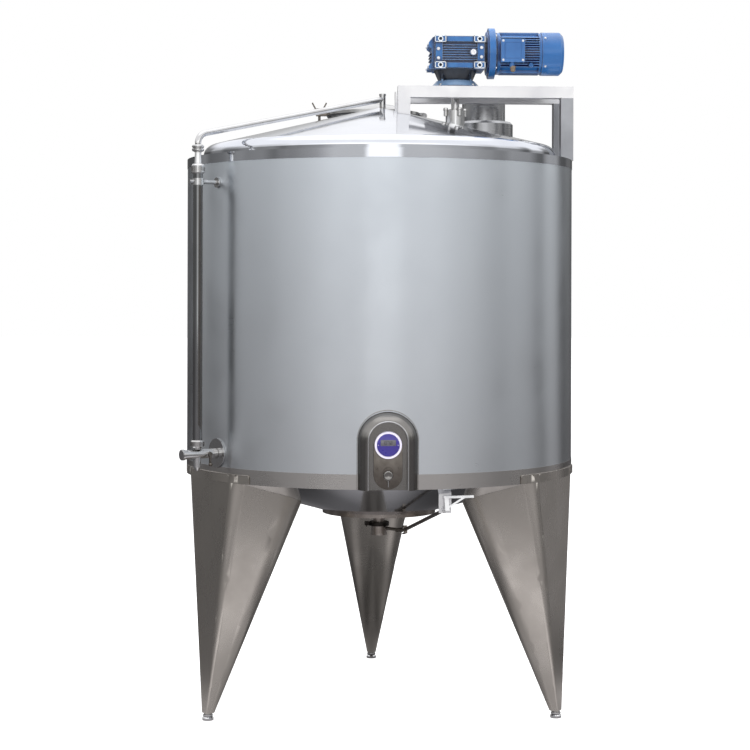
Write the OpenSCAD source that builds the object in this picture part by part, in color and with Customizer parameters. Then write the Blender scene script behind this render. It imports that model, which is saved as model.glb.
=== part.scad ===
// Jacketed extraction tank on three cone legs, with a top drive, a level gauge and a remote drain valve.
// Front is -Y, right is +X, and the origin is on the tank's axis at floor level. All sizes are in mm.

/* [Jacket] */
// Outside radius of the jacket
jacket_r = 860; // [700:10:1100]
// Height of the jacket's lower edge above the floor
jacket_low = 1022; // [850:10:1250]
// Height of the jacket from its lower edge to the rim
jacket_h = 1383; // [1100:10:1800]
// Sheet thickness of the jacket
jacket_wall = 3; // [2:0.5:5]
// Height of the polished band under the rim
top_band_h = 39; // [25:1:60]
// Height of the hem band at the lower edge
hem_h = 62; // [40:1:90]
// How far both bands stand proud of the jacket
band_proud = 1.5; // [1:0.5:3]
// Slope of the bottom cladding cone, in degrees
bottom_slope = 16.2; // [12:0.2:20]
// Radius of the closing pan in the middle of the bottom
pan_r = 254; // [200:2:300]
// Height of the closing pan
pan_h = 15; // [10:1:25]

/* [Vessel and top head] */
// Width of the insulated space between jacket and vessel
lagging = 70; // [50:5:100]
// Wall of the inner vessel and the heads
vessel_wall = 5; // [4:0.5:8]
// Height from the jacket's lower edge up to the vessel's bottom corner
vessel_lift = 58; // [50:1:90]
// Straight flange of the top head
head_flange = 19; // [10:1:40]
// Knuckle radius of the top head
knuckle_r = 45; // [30:1:70]
// Slope of the top head, in degrees
top_slope = 13.7; // [10:0.1:18]

/* [Legs] */
// How far each leg's outer side stands out past the jacket
leg_proud = 20; // [5:1:40]
// Radius of a leg at its foot
leg_tip_r = 22; // [18:1:40]
// Half angle of a leg's round inner side, in degrees
leg_angle = 10.8; // [8:0.2:13]
// Lean of that round side's middle line towards the tank, in degrees
leg_lean = 13.5; // [11:0.5:16]
// How far a leg laps up over the hem
leg_lap = 36; // [20:1:50]
// Height of the screw foot under a leg
foot_h = 30; // [20:1:50]
// Radius of the foot's pad
foot_r = 24; // [18:1:40]

/* [Drive frame] */
// Height of the frame's top above the head's peak
frame_rise = 82; // [60:1:200]
// Width of the square tubes
tube_w = 55; // [40:1:70]
// Height of the square tubes
tube_h = 51; // [40:1:70]
// Free space between the front and rear beams
beam_gap = 190; // [170:2:220]
// Where the beams start, from the tank's axis
beam_left = 74; // [40:1:120]
// Thickness of the plate under the gearbox
drive_plate_t = 12; // [8:1:20]
// Distance of the agitator from the tank's axis
shaft_x = 340; // [300:2:380]
// Radius of the agitator shaft
shaft_r = 18.5; // [15:0.5:24]
// Radius swept by the impeller
impeller_r = 225; // [180:5:260]
// Height of the impeller above the vessel's bottom corner
impeller_lift = 220; // [200:10:420]
// Radius of the shaft seal's housing
seal_r = 43; // [38:1:50]
// Height of the seal housing's top below the beams
seal_gap = 45; // [35:1:60]

/* [Gear motor] */
// Radius of the gearbox's output flange
out_flange_r = 114; // [105:1:125]
// Thickness of the output flange
out_flange_t = 28; // [20:1:35]
// Height of the neck between flange and gearbox
gear_neck_h = 56; // [45:1:70]
// Distance from the shaft to the gearbox's left side
gear_back = 99; // [90:1:120]
// Length of the gearbox
gear_len = 225; // [200:5:260]
// Width of the gearbox, front to back
gear_w = 200; // [180:2:220]
// Height of the gearbox
gear_h = 147; // [130:1:170]
// Height of the motor's axis above the gearbox's underside
motor_rise = 78; // [65:1:90]
// Radius of the flange between gearbox and motor
in_flange_r = 114; // [100:1:120]
// Thickness of that flange with its spigots
in_flange_t = 42; // [36:1:50]
// Radius of the motor over its fins
motor_r = 96; // [80:1:105]
// Length of the motor's finned body
motor_len = 205; // [170:5:260]
// Length of the fan cover
fan_cover_len = 97; // [80:1:120]

/* [Vent and manway] */
// Vent centre, to the right of the axis
vent_x = 495; // [460:5:520]
// Vent centre, behind the axis
vent_y = 270; // [260:5:300]
// Outside radius of the vent's neck
vent_r = 100; // [70:2:110]
// Outside radius of the vent's collar
collar_r = 136; // [115:1:145]
// Height of the vent's top above the head
vent_h = 236; // [200:1:280]
// Height of the collar's top above the head
collar_h = 96; // [80:1:120]
// Manway centre, left or right of the axis
manway_x = -15; // [-40:5:0]
// Manway centre, behind the axis
manway_y = 400; // [380:5:420]
// Outside radius of the manway's neck
manway_r = 200; // [160:5:210]
// Height of the neck's top above the head
manway_h = 94; // [85:1:130]
// How far the lid reaches out past the neck
lid_lap = 20; // [14:1:30]
// Height of the lid's dome above its rim
lid_dome = 44; // [30:1:60]

/* [Level gauge] */
// Direction of the gauge, counted from +X towards +Y, in degrees
gauge_angle = 215; // [200:1:230]
// Distance of the gauge tube's axis from the jacket
gauge_offset = 97; // [92:1:150]
// Radius of the gauge tube
gauge_r = 20; // [15:1:24]
// Height of the lower cock above the jacket's lower edge
cock_lift = 118; // [100:1:150]
// Radius of the cock's body
cock_r = 19.5; // [17:0.5:24]
// Distance of the cock's lever from the jacket
lever_out = 53; // [48:1:58]
// Length of the cock's lever
lever_len = 43; // [30:1:50]
// Height of the tube's lower end above the cock
tube_lift = 59; // [56:1:80]
// Depth of the tube's upper end below the rim
tube_drop = 73; // [60:1:90]
// Depth of the upper support's rod below the rim
support_drop = 125; // [100:5:200]
// Height of the elbow above the rim
elbow_rise = 73; // [72:1:90]
// Bend radius of the vapour pipe
elbow_r = 46; // [40:1:50]
// Radius of the vapour pipe
pipe_r = 13; // [10:0.5:15]
// How far the welded elbow stands proud of the pipe
elbow_proud = 0.6; // [0.4:0.1:1.5]
// Radius of the nozzle on the top of the head
nozzle_r = 13.5; // [12:0.5:18]
// Height of the nozzle's top above the head's peak
nozzle_h = 59; // [50:1:90]
// Distance of the nozzle from the tank's axis
nozzle_x = 12; // [0:1:13]

/* [Sensor hood] */
// Outside width of the hood at the jacket
hood_w = 249; // [220:1:270]
// Width of the recess in the hood
recess_w = 157; // [140:1:170]
// Height of the arch's centre above the jacket's lower edge
arch_lift = 198; // [180:2:230]
// How far the hood stands out from the jacket
hood_out = 38; // [30:1:50]
// Radius of the round display
display_r = 54.5; // [45:0.5:60]
// Radius of the plate that carries the probe
probe_plate_r = 58; // [50:1:62]

/* [Drain] */
// Radius of the outlet pipe
outlet_r = 25.5; // [20:0.5:32]
// Wall of the outlet pipe
outlet_wall = 2; // [1.5:0.5:4]
// Length of the outlet pipe below the pan
outlet_len = 50; // [40:1:80]
// Radius of the valve body
valve_r = 34; // [30:1:40]
// Height of the valve body
valve_h = 44; // [40:1:60]
// Direction of the valve stem, in degrees
stem_angle = -45; // [-60:5:-30]
// Distance of the universal joint from the tank's axis
joint_reach = 150; // [130:5:180]
// Radius of the remote rod
rod_r = 8; // [6:0.5:12]
// Place of the rod in its bracket, to the right of the axis
bracket_x = 243; // [200:1:300]
// Distance of the bracket from the jacket's front
bracket_in = 150; // [100:5:200]
// Depth of the rod in its bracket below the jacket's lower edge
bracket_drop = 97; // [80:1:110]
// Width of the bracket
bracket_w = 52; // [40:1:60]
// Length of the handle bar
handle_len = 130; // [100:5:160]

/* [Fits] */
// Free space between two pieces that seat on each other
seat = 0.3; // [0.2:0.1:0.5]
// Free space round a turning shaft or pin
run_fit = 0.1; // [0.05:0.01:0.1]

/* [Hidden] */
$fn = 96;
wide_fn = 360;

rim_z = jacket_low + jacket_h;
leg_out = jacket_r + leg_proud;
band_r = jacket_r + band_proud;
skin_r = jacket_r - jacket_wall;
vessel_r = jacket_r - lagging;
cone_edge_r = skin_r - seat;
pan_top = jacket_low - (cone_edge_r - pan_r) * tan(bottom_slope);
pan_low = pan_top - pan_h;
vessel_low = jacket_low + vessel_lift;
leg_top = jacket_low + leg_lap;
peak_z = round(head_apex(0));
frame_top = peak_z + frame_rise;
impeller_z = vessel_low + impeller_lift;
beam_low = frame_top - tube_h;
beam_right = jacket_r - 6;
beam_y = beam_gap / 2;
gear_low = frame_top + out_flange_t + gear_neck_h;
motor_z = gear_low + motor_rise;
gear_left = shaft_x - gear_back;
gear_right = gear_left + gear_len;
flange_x = gear_right + 12;
motor_x = flange_x + in_flange_t;
fan_x = motor_x + motor_len;
manway_reach = norm([manway_x, manway_y]);
manway_top = round(head_z(manway_reach)) + manway_h;
lid_r = manway_r + lid_lap;
lid_low = manway_top + seat;
lid_t = 14;
hinge_x = manway_x + lid_r + 20;
hinge_z = manway_top + 2;
vent_foot = round(head_z(norm([vent_x, vent_y])));
vent_top = vent_foot + vent_h;
collar_top = vent_foot + collar_h;
nozzle_top = peak_z + nozzle_h;
// Tall enough for every cut that starts at the rim
cut_h = max(frame_top, nozzle_top, vent_top) - rim_z + 40;
gauge_reach = jacket_r + gauge_offset;
cock_z = jacket_low + cock_lift;
cock_boss = 8;
lever_x = jacket_r + lever_out;
lever_pin_r = 5;
tube_low = cock_z + tube_lift;
tube_top = rim_z - tube_drop;
hood_centre = jacket_low + arch_lift;
hood_face = -(jacket_r + hood_out);
recess_floor = -(jacket_r + 8);
valve_top = pan_low - outlet_len;
stem_z = valve_top - valve_h / 2;
rod_start = [joint_reach * cos(stem_angle), joint_reach * sin(stem_angle), stem_z];
bracket_y = jacket_r - bracket_in;
rod_end = [bracket_x, -bracket_y, jacket_low - bracket_drop];
rod_path = rod_end - rod_start;
rod_len = norm(rod_path);
fork_back = 33;
rod_turn = atan2(rod_path[1], rod_path[0]);
rod_tilt = acos(rod_path[2] / rod_len);

// Outline of the top head, moved inwards by inset
function knuckle(inset, n = 14) = [
    for (i = [0:n])
        let (a = (90 - top_slope) * i / n)
        [vessel_r - knuckle_r + (knuckle_r - inset) * cos(a),
         rim_z + head_flange + (knuckle_r - inset) * sin(a)]
];
function head_apex(inset) =
    let (end = knuckle(inset)[14]) end[1] + end[0] * tan(top_slope);
// Height of the head's outer face at distance rho from the axis
function head_z(rho) = head_apex(0) - rho * tan(top_slope);

module head_outline(inset, low) {
    polygon(concat([[0, low], [vessel_r - inset, low]], knuckle(inset), [[0, head_apex(inset)]]));
}

// Everything under the head's outer face, grown by a clearance, to trim what stands on it
module head_body(gap) {
    rotate_extrude($fn = wide_fn) head_outline(-gap, rim_z);
}

// The jacket with its bottom, grown by a clearance, to trim what is welded to it
module tank_body(gap) {
    rotate_extrude($fn = wide_fn)
        polygon([
            [0, pan_low - gap],
            [pan_r + gap, pan_low - gap],
            [pan_r + gap, pan_top - gap],
            [cone_edge_r, jacket_low - gap],
            [band_r + gap, jacket_low - gap],
            [band_r + gap, jacket_low + hem_h + gap],
            [jacket_r + gap, jacket_low + hem_h + gap],
            [jacket_r + gap, rim_z],
            [0, rim_z]
        ]);
}

module ring(outer, inner, h) {
    difference() {
        cylinder(r = outer, h = h, $fn = wide_fn);
        translate([0, 0, -1]) cylinder(r = inner, h = h + 2, $fn = wide_fn);
    }
}

// A cylinder along X
module rod_x(r, len) {
    rotate([0, 90, 0]) cylinder(r = r, h = len);
}

// A cylinder along Y
module rod_y(r, len) {
    rotate([-90, 0, 0]) cylinder(r = r, h = len);
}

module outer_jacket() {
    color("#c4c6c9")
        translate([0, 0, jacket_low + hem_h])
            ring(jacket_r, skin_r, jacket_h - hem_h - top_band_h);
}

// The polished band under the rim, with the flat ledge that closes the insulated space
module top_band() {
    color("#d9dcdf") {
        translate([0, 0, rim_z - top_band_h]) ring(band_r, skin_r, top_band_h - 6);
        translate([0, 0, rim_z - 6]) ring(band_r, vessel_r + seat, 6);
    }
}

module hem_band() {
    color("#a5a29d")
        translate([0, 0, jacket_low]) ring(band_r, skin_r, hem_h);
}

module inner_vessel() {
    color("#b5b8bb")
        translate([0, 0, vessel_low]) ring(vessel_r, vessel_r - vessel_wall, rim_z - vessel_low);
}

// The inner bottom runs down to the outlet, parallel to the cladding
module vessel_bottom() {
    drop = (vessel_r - outlet_r) * tan(bottom_slope);
    thick = vessel_wall / cos(bottom_slope);
    color("#b0b3b6")
        rotate_extrude($fn = wide_fn)
            polygon([
                [outlet_r + seat, vessel_low - drop - thick],
                [outlet_r + seat, vessel_low - drop],
                [vessel_r, vessel_low],
                [vessel_r, vessel_low - thick]
            ]);
}

module top_head() {
    color("#e4e6e8")
        difference() {
            rotate_extrude($fn = wide_fn)
                difference() {
                    head_outline(0, rim_z);
                    head_outline(vessel_wall, rim_z - 1);
                }
            translate([manway_x, manway_y, rim_z]) cylinder(r = manway_r + seat, h = cut_h);
            translate([vent_x, vent_y, rim_z]) cylinder(r = vent_r - 6, h = cut_h);
            translate([shaft_x, 0, rim_z]) cylinder(r = shaft_r + 6, h = cut_h);
            translate([nozzle_x, 0, rim_z]) cylinder(r = nozzle_r + seat, h = cut_h);
        }
}

module bottom_cone() {
    thick = jacket_wall / cos(bottom_slope);
    color("#cfd2d6")
        rotate_extrude($fn = wide_fn)
            polygon([
                [pan_r + seat, pan_top],
                [pan_r + seat, pan_top + thick],
                [cone_edge_r, jacket_low + thick],
                [cone_edge_r, jacket_low]
            ]);
}

module bottom_pan() {
    color("#c9cbce")
        translate([0, 0, pan_low])
            difference() {
                cylinder(r = pan_r, h = pan_h);
                translate([0, 0, 4]) cylinder(r = pan_r - 4, h = pan_h);
                translate([0, 0, -1]) cylinder(r = outlet_r + seat, h = pan_h);
            }
}

// A cone drawn from the origin, leaning in towards the tank and to one side
module ray_cone(lean, side_lean, half_angle, near, far)
    rotate([side_lean, -lean, 0])
        translate([0, 0, near])
            cylinder(r1 = near * tan(half_angle), r2 = far * tan(half_angle), h = far - near);

// A flat sided wedge drawn from the origin: its slopes inside, outside and to both sides
module ray_wedge(inner, outer, side, near, far) {
    bite = 0.4;
    intersection() {
        rotate([90, 0, 0])
            linear_extrude(height = 4 * side * far, center = true)
                polygon([[inner * near, near], [outer * near - bite, near],
                         [outer * far - bite, far], [inner * far, far]]);
        rotate([90, 0, 90])
            linear_extrude(height = 2 * far, center = true)
                polygon([[bite - side * near, near], [side * near - bite, near],
                         [side * far - bite, far], [bite - side * far, far]]);
    }
}

// A folded leg, all drawn from one point under the floor: a round inner side, a nearly flat outer
// face and two small round corners. It is cut to the tank, with a pad plate on the hem.
module leg(direction) {
    spread = tan(leg_angle) / cos(leg_lean);
    corner = spread / 5;
    face = -0.027;
    foot_run = leg_tip_r / spread;
    near = 0.8 * foot_run;
    far = 1.12 * (leg_top - foot_h + foot_run);
    corner_lean = atan(corner - face);
    corner_side = atan((spread - corner) * cos(corner_lean));
    pad_half = 19;
    rotate([0, 0, direction])
        difference() {
            union() {
                intersection() {
                    translate([leg_out, 0, foot_h - foot_run]) {
                        ray_cone(leg_lean, 0, leg_angle, near, far);
                        for (side = [-1, 1])
                            ray_cone(corner_lean, side * corner_side,
                                     atan(corner * cos(corner_side)), near, far);
                        ray_wedge(-tan(leg_lean), face - corner, spread, near, far);
                        ray_wedge(face - 2 * corner, face, spread - corner, near, far);
                    }
                    translate([0, -leg_out, foot_h]) cube([leg_out + 60, 2 * leg_out, leg_top - foot_h]);
                }
                rotate([0, 0, -pad_half])
                    rotate_extrude(angle = 2 * pad_half, $fn = wide_fn)
                        translate([skin_r, leg_top - leg_lap]) square([band_r + 4 - skin_r, leg_lap]);
            }
            tank_body(seat);
        }
}

module leg_left() { color("#8b8885") leg(210); }
module leg_right() { color("#8b8885") leg(330); }
module leg_rear() { color("#8b8885") leg(90); }

// Screw foot with a domed pad
module foot(direction) {
    pad = foot_h / 3;
    rotate([0, 0, direction])
        translate([leg_out - leg_tip_r, 0, 0]) {
            cylinder(r = foot_r, h = pad);
            translate([0, 0, pad]) cylinder(r1 = foot_r, r2 = foot_r * 0.6, h = pad);
            translate([0, 0, 2 * pad]) cylinder(r = foot_r / 2, h = pad);
        }
}

module foot_left() { color("#6f6d6b") foot(210); }
module foot_right() { color("#6f6d6b") foot(330); }
module foot_rear() { color("#6f6d6b") foot(90); }

// A beam with the short leg that stands on the head at its left end
module beam(side) {
    y_low = side > 0 ? beam_y : -beam_y - tube_w;
    low = head_z(norm([beam_left + tube_w, beam_y + tube_w])) - 20;
    difference() {
        union() {
            translate([beam_left, y_low, beam_low]) cube([beam_right - beam_left, tube_w, tube_h]);
            translate([beam_left, y_low, low]) cube([tube_w, tube_w, beam_low + tube_h / 2 - low]);
        }
        head_body(seat);
    }
}

module post(side) {
    y_low = side > 0 ? beam_y : -beam_y - tube_w;
    difference() {
        translate([beam_right - tube_w, y_low, rim_z]) cube([tube_w, tube_w, beam_low - rim_z]);
        head_body(seat);
    }
}

module beam_front() { color("#e6e6e6") beam(-1); }
module beam_rear() { color("#e6e6e6") beam(1); }
module post_front() { color("#dcdcdc") post(-1); }
module post_rear() { color("#dcdcdc") post(1); }

module drive_plate() {
    left = shaft_x - out_flange_r - 6;
    right = beam_right - tube_w - 35;
    color("#bfc1c3")
        difference() {
            translate([left, -beam_y, frame_top - drive_plate_t])
                cube([right - left, beam_gap, drive_plate_t]);
            translate([shaft_x, 0, frame_top - drive_plate_t - 1])
                cylinder(r = shaft_r + 8, h = drive_plate_t + 2);
        }
}

// Corner pad with its bolt hole on the gearbox's side
module gear_pad(x, z, w, h) {
    difference() {
        translate([x, -gear_w / 2, z]) cube([w, 22, h]);
        translate([x + w / 2, -gear_w / 2 - 1, z + h / 2]) rod_y(6.5, 18);
    }
}

// Ribbed side of the gearbox: four pads, two rails and a stack of ribs in the recess
module gear_side() {
    pad_w = 50;
    pad_h = 30;
    rib_count = 7;
    recess_h = gear_h - 2 * pad_h;
    pitch = recess_h / (rib_count + 1);
    for (x = [gear_left, gear_right - pad_w], z = [gear_low, gear_low + gear_h - pad_h])
        gear_pad(x, z, pad_w, pad_h);
    for (z = [gear_low + 4, gear_low + gear_h - pad_h + 4])
        translate([gear_left + pad_w, -gear_w / 2 + 6, z])
            cube([gear_len - 2 * pad_w, 20, pad_h - 8]);
    for (x = [gear_left + 4, gear_right - 34])
        translate([x, -gear_w / 2 + 8, gear_low + pad_h]) cube([30, 16, recess_h]);
    for (i = [1:rib_count])
        translate([gear_left + 34, -gear_w / 2 + 12, gear_low + pad_h + i * pitch - 1.5])
            cube([gear_len - 68, 10, 3]);
}

module gearbox() {
    color("#2f63ac") {
        translate([gear_left, -gear_w / 2 + 20, gear_low]) cube([gear_len, gear_w - 40, gear_h]);
        gear_side();
        mirror([0, 1, 0]) gear_side();
        // sight plug on the front, an end cover with two pads on the left, spigot on the right
        translate([gear_left + 172, -gear_w / 2 + 2, gear_low + gear_h / 2]) rod_y(16, 20);
        translate([gear_left, gear_w / 2 - 26, gear_low])
            rotate([90, 0, 0])
                linear_extrude(height = gear_w - 52)
                    polygon([
                        [2, 0.5], [-26, 0.5], [-26, 15], [-12, 27], [-12, gear_h - 56], [-26, gear_h - 45],
                        [-26, gear_h - 28], [-7, gear_h - 5], [2, gear_h - 5]
                    ]);
        for (z = [42, 56, 70])
            translate([gear_left - 19, -gear_w / 2 + 40, gear_low + z]) cube([10, gear_w - 80, 4]);
        translate([gear_right - 1, 0, motor_z]) rod_x(62, flange_x - gear_right + 1 - seat);
        for (a = [45:90:315])
            translate([gear_right - 1, 56 * cos(a), motor_z + 56 * sin(a)])
                rod_x(12, flange_x - gear_right + 1 - seat);
    }
}

// Output flange with a flared neck and four webs under the gearbox
module output_flange() {
    neck_r = 72;
    color("#24508f")
        translate([shaft_x, 0, frame_top])
            difference() {
                union() {
                    cylinder(r = out_flange_r, h = 8);
                    translate([0, 0, 7])
                        cylinder(r1 = out_flange_r - 2, r2 = neck_r + 14, h = out_flange_t);
                    translate([0, 0, out_flange_t - 2])
                        cylinder(r1 = neck_r, r2 = neck_r + 26, h = gear_neck_h + 2 - seat);
                    for (a = [45:90:315])
                        rotate([0, 0, a])
                            translate([neck_r - 8, -5, out_flange_t - 1])
                                cube([26, 10, gear_neck_h - 5]);
                }
                translate([0, 0, -1]) cylinder(r = shaft_r + run_fit, h = 41);
            }
}

module motor_flange() {
    rim_t = 28;
    color("#3a70b8")
        translate([flange_x, 0, motor_z]) {
            rod_x(in_flange_r - 16, 8);
            translate([8, 0, 0]) rod_x(in_flange_r, rim_t);
            translate([8 + rim_t, 0, 0]) rod_x(in_flange_r - 26, in_flange_t - 8 - rim_t - seat);
        }
}

// Parallel cooling fins that keep to the motor's round outline
module fins(first, last) {
    pitch = 11;
    count = 13;
    intersection() {
        translate([first, 0, motor_z]) rod_x(motor_r, last - first);
        union() {
            for (i = [-(count - 1) / 2:(count - 1) / 2]) {
                translate([first, -motor_r, motor_z + i * pitch - 1.5])
                    cube([last - first, 2 * motor_r, 3]);
            }
            for (i = [-3:3])
                translate([first, i * pitch - 1.5, motor_z - motor_r])
                    cube([last - first, 3, 2 * motor_r]);
        }
    }
}

module motor_body() {
    barrel_r = motor_r - 10;
    color("#2a5fae") {
        translate([motor_x, 0, motor_z]) rod_x(barrel_r, motor_len - seat);
        translate([motor_x + 2, 0, motor_z]) rod_x(motor_r - 2, 16);
        translate([motor_x + motor_len - 14 - seat, 0, motor_z]) rod_x(motor_r - 3, 14);
        fins(motor_x + 17, motor_x + motor_len - 12);
        // block that carries the terminal box
        translate([motor_x + 16, -motor_r - 2, motor_z - 50]) cube([102, 44, 100]);
    }
}

module fan_cover() {
    color("#3f7cc4")
        translate([fan_x, 0, motor_z]) {
            difference() {
                union() {
                    rod_x(motor_r + 1, fan_cover_len - 14);
                    translate([fan_cover_len - 14, 0, 0])
                        rotate([0, 90, 0]) cylinder(r1 = motor_r + 1, r2 = motor_r - 13, h = 14);
                }
                for (k = [0:3], i = [0:5 + 5 * k])
                    let (a = 360 * i / (6 + 5 * k))
                    translate([fan_cover_len - 4, (16 + 17 * k) * cos(a), (16 + 17 * k) * sin(a)])
                        rod_x(4.5, 8);
            }
        }
}

module terminal_box() {
    box_x = motor_x + 16;
    box_y = -motor_r - 34;
    color("#3a78c2") {
        translate([box_x, box_y + 9, motor_z - 50]) cube([102, 23 - seat, 100]);
        translate([box_x - 2, box_y, motor_z - 52]) cube([106, 10, 104]);
        translate([box_x + 48, box_y + 20, motor_z - 72]) cylinder(r = 11, h = 23);
    }
}

module seal_housing() {
    top = beam_low - seal_gap;
    low = head_z(shaft_x + seal_r) - 20;
    color("#bcbec0")
        difference() {
            union() {
                translate([shaft_x, 0, low]) cylinder(r = seal_r, h = top - low);
                for (a = [20:90:290])
                    translate([shaft_x + (seal_r + 4) * cos(a), (seal_r + 4) * sin(a), top - 26])
                        cylinder(r = 9, h = 30);
            }
            head_body(seat);
            translate([shaft_x, 0, rim_z]) cylinder(r = shaft_r + run_fit, h = cut_h);
        }
}

module agitator_shaft() {
    color("#a9abad")
        translate([shaft_x, 0, impeller_z - 30])
            cylinder(r = shaft_r, h = frame_top + 36 - impeller_z + 30);
}

// Four pitched blades on a split hub
module impeller() {
    hub_r = shaft_r + 22;
    color("#a0a2a4")
        translate([shaft_x, 0, impeller_z])
            difference() {
                union() {
                    translate([0, 0, -35]) cylinder(r = hub_r, h = 70);
                    for (a = [0:90:270])
                        rotate([0, 0, a])
                            translate([hub_r - 6, 0, 0])
                                rotate([45, 0, 0])
                                    translate([0, -30, -3]) cube([impeller_r - hub_r, 60, 6]);
                }
                translate([0, 0, -50]) cylinder(r = shaft_r + seat, h = 100);
            }
}

// Vapour vent: a collar on the head, a neck and a closed cover
module vent_port() {
    bore_r = vent_r - vessel_wall;
    edge = 12;
    cover_t = 14;
    collar_rise = collar_top - rim_z;
    vent_rise = vent_top - rim_z;
    color("#cdcfd1")
        difference() {
            translate([vent_x, vent_y, rim_z])
                difference() {
                    union() {
                        cylinder(r = collar_r, h = collar_rise - edge);
                        translate([0, 0, collar_rise - edge])
                            cylinder(r1 = collar_r, r2 = collar_r - edge, h = edge);
                        cylinder(r = vent_r, h = vent_rise - cover_t);
                        translate([0, 0, vent_rise - cover_t]) cylinder(r = vent_r + 8, h = cover_t);
                    }
                    cylinder(r = bore_r, h = vent_rise - cover_t - 6);
                }
            head_body(seat);
        }
}

module manway_neck() {
    low = head_z(manway_reach + manway_r) - 18;
    color("#d2d4d6")
        difference() {
            translate([manway_x, manway_y, low]) {
                cylinder(r = manway_r, h = manway_top - low);
                translate([0, 0, manway_top - low - 12]) cylinder(r = manway_r + 12, h = 12);
            }
            translate([manway_x, manway_y, low - 1])
                cylinder(r = manway_r - vessel_wall, h = manway_top - low + 2);
        }
}

// Two ears on the neck with the lid's pin between them
module manway_hinge() {
    pin_r = 6;
    color("#a8aaac")
        difference() {
            union() {
                for (y = [manway_y - 38, manway_y + 28])
                    translate([0, y + 10, 0])
                        rotate([90, 0, 0])
                            linear_extrude(10)
                                polygon([
                                    [manway_x + manway_r - 12, manway_top - 62],
                                    [hinge_x - 4, hinge_z - 22],
                                    [hinge_x + 10, hinge_z - 6],
                                    [hinge_x + 10, hinge_z + 8],
                                    [hinge_x - 8, hinge_z + 8],
                                    [hinge_x - 8, manway_top - 14],
                                    [manway_x + manway_r - 12, manway_top - 14]
                                ]);
                translate([hinge_x, manway_y - 44, hinge_z]) rod_y(pin_r, 88);
            }
            translate([manway_x, manway_y, rim_z]) cylinder(r = manway_r + seat, h = cut_h);
            translate([manway_x, manway_y, manway_top - 12 - seat])
                cylinder(r = manway_r + 12 + seat, h = 100);
        }
}

// Dished lid with its hinge arm
module manway_lid() {
    pin_r = 6;
    base_r = lid_r - 18;
    ball_r = (base_r * base_r + lid_dome * lid_dome) / (2 * lid_dome);
    color("#d6d8da")
        difference() {
            union() {
                translate([manway_x, manway_y, lid_low]) {
                    cylinder(r = lid_r, h = lid_t);
                    translate([0, 0, lid_t])
                        intersection() {
                            translate([0, 0, lid_dome - ball_r]) sphere(r = ball_r, $fn = 180);
                            cylinder(r = base_r + 5, h = lid_dome + 10);
                        }
                }
                translate([manway_x + lid_r - 30, manway_y - 22, lid_low + 4])
                    cube([hinge_x - manway_x - lid_r + 30, 44, 12]);
                translate([hinge_x, manway_y - 25, hinge_z]) rod_y(13, 50);
            }
            translate([manway_x, manway_y, lid_low - 1]) cylinder(r = manway_r - 24, h = 10);
            translate([hinge_x, manway_y - 50, hinge_z]) rod_y(pin_r + run_fit, 100);
        }
}

// Lug, bolt and wing nut that hold the lid down
module lid_clamp() {
    x = manway_x - lid_r - 34;
    color("#b2b4b6") {
        difference() {
            translate([x - 16, manway_y - 18, lid_low]) cube([16 + 36 + 14, 36, 12]);
            translate([manway_x, manway_y, lid_low - 1]) cylinder(r = lid_r + seat, h = 30);
        }
        translate([x, manway_y, lid_low - 28]) cylinder(r = 6, h = 28 + 12 + 20);
        translate([x, manway_y, lid_low + 11]) cylinder(r = 15, h = 24);
        for (s = [-1, 1])
            translate([x + s * 10, manway_y, lid_low + 24])
                rotate([0, s * 28, 0])
                    translate([-3 + s * 3, -11, 0]) cube([6, 22, 44]);
    }
}

// Puts what is drawn with its reach along X at the gauge's direction
module at_gauge() {
    rotate([0, 0, gauge_angle]) children();
}

module gauge_tube() {
    color("#8d9296")
        at_gauge()
            translate([gauge_reach, 0, tube_low - 12])
                cylinder(r = gauge_r, h = tube_top - tube_low + 24);
}

// Lower and upper unions, turned to shape, the upper one with its neck and clamped ferrule
module gauge_unions() {
    nut_r = gauge_r + 8;
    neck_r = gauge_r - 5;
    clamp_r = pipe_r + 12.5;
    low = cock_z + cock_r + seat;
    high = tube_top - 18;
    color("#c2c4c6")
        at_gauge()
            translate([gauge_reach, 0, 0])
                difference() {
                    rotate_extrude() {
                        polygon([
                            [0, low], [neck_r, low], [neck_r, tube_low - 32], [nut_r - 5, tube_low - 32],
                            [nut_r, tube_low - 26], [nut_r, tube_low - 6], [nut_r - 3, tube_low],
                            [0, tube_low]
                        ]);
                        polygon([
                            [0, high], [nut_r - 3, high], [nut_r, high + 5], [nut_r, high + 33],
                            [nut_r - 5, high + 40], [neck_r + 1, high + 40], [pipe_r, rim_z - 1],
                            [pipe_r + 4, rim_z - 1], [pipe_r + 4, rim_z + 2], [clamp_r - 3, rim_z + 2],
                            [clamp_r, rim_z + 6], [clamp_r, rim_z + 12], [clamp_r - 3, rim_z + 15],
                            [clamp_r - 3, rim_z + 17], [clamp_r, rim_z + 20], [clamp_r, rim_z + 25],
                            [clamp_r - 4, rim_z + 29], [0, rim_z + 29]
                        ]);
                    }
                    translate([0, 0, tube_low - 12 - seat])
                        cylinder(r = gauge_r + seat, h = tube_top - tube_low + 24 + 2 * seat);
                }
}

// Rod from the jacket with a clamp ring round the tube
module gauge_support() {
    z = rim_z - support_drop;
    color("#9b9da0")
        at_gauge()
            difference() {
                union() {
                    translate([jacket_r - 20, 0, z]) rod_x(8.5, gauge_reach - jacket_r + 20 + gauge_r + 22);
                    translate([gauge_reach, 0, z - 14]) cylinder(r = gauge_r + 7, h = 28);
                    translate([jacket_r - 20, 0, z]) rod_x(22, 26);
                }
                translate([gauge_reach, 0, z - 30]) cylinder(r = gauge_r + seat, h = 60);
                tank_body(seat);
            }
}

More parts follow.
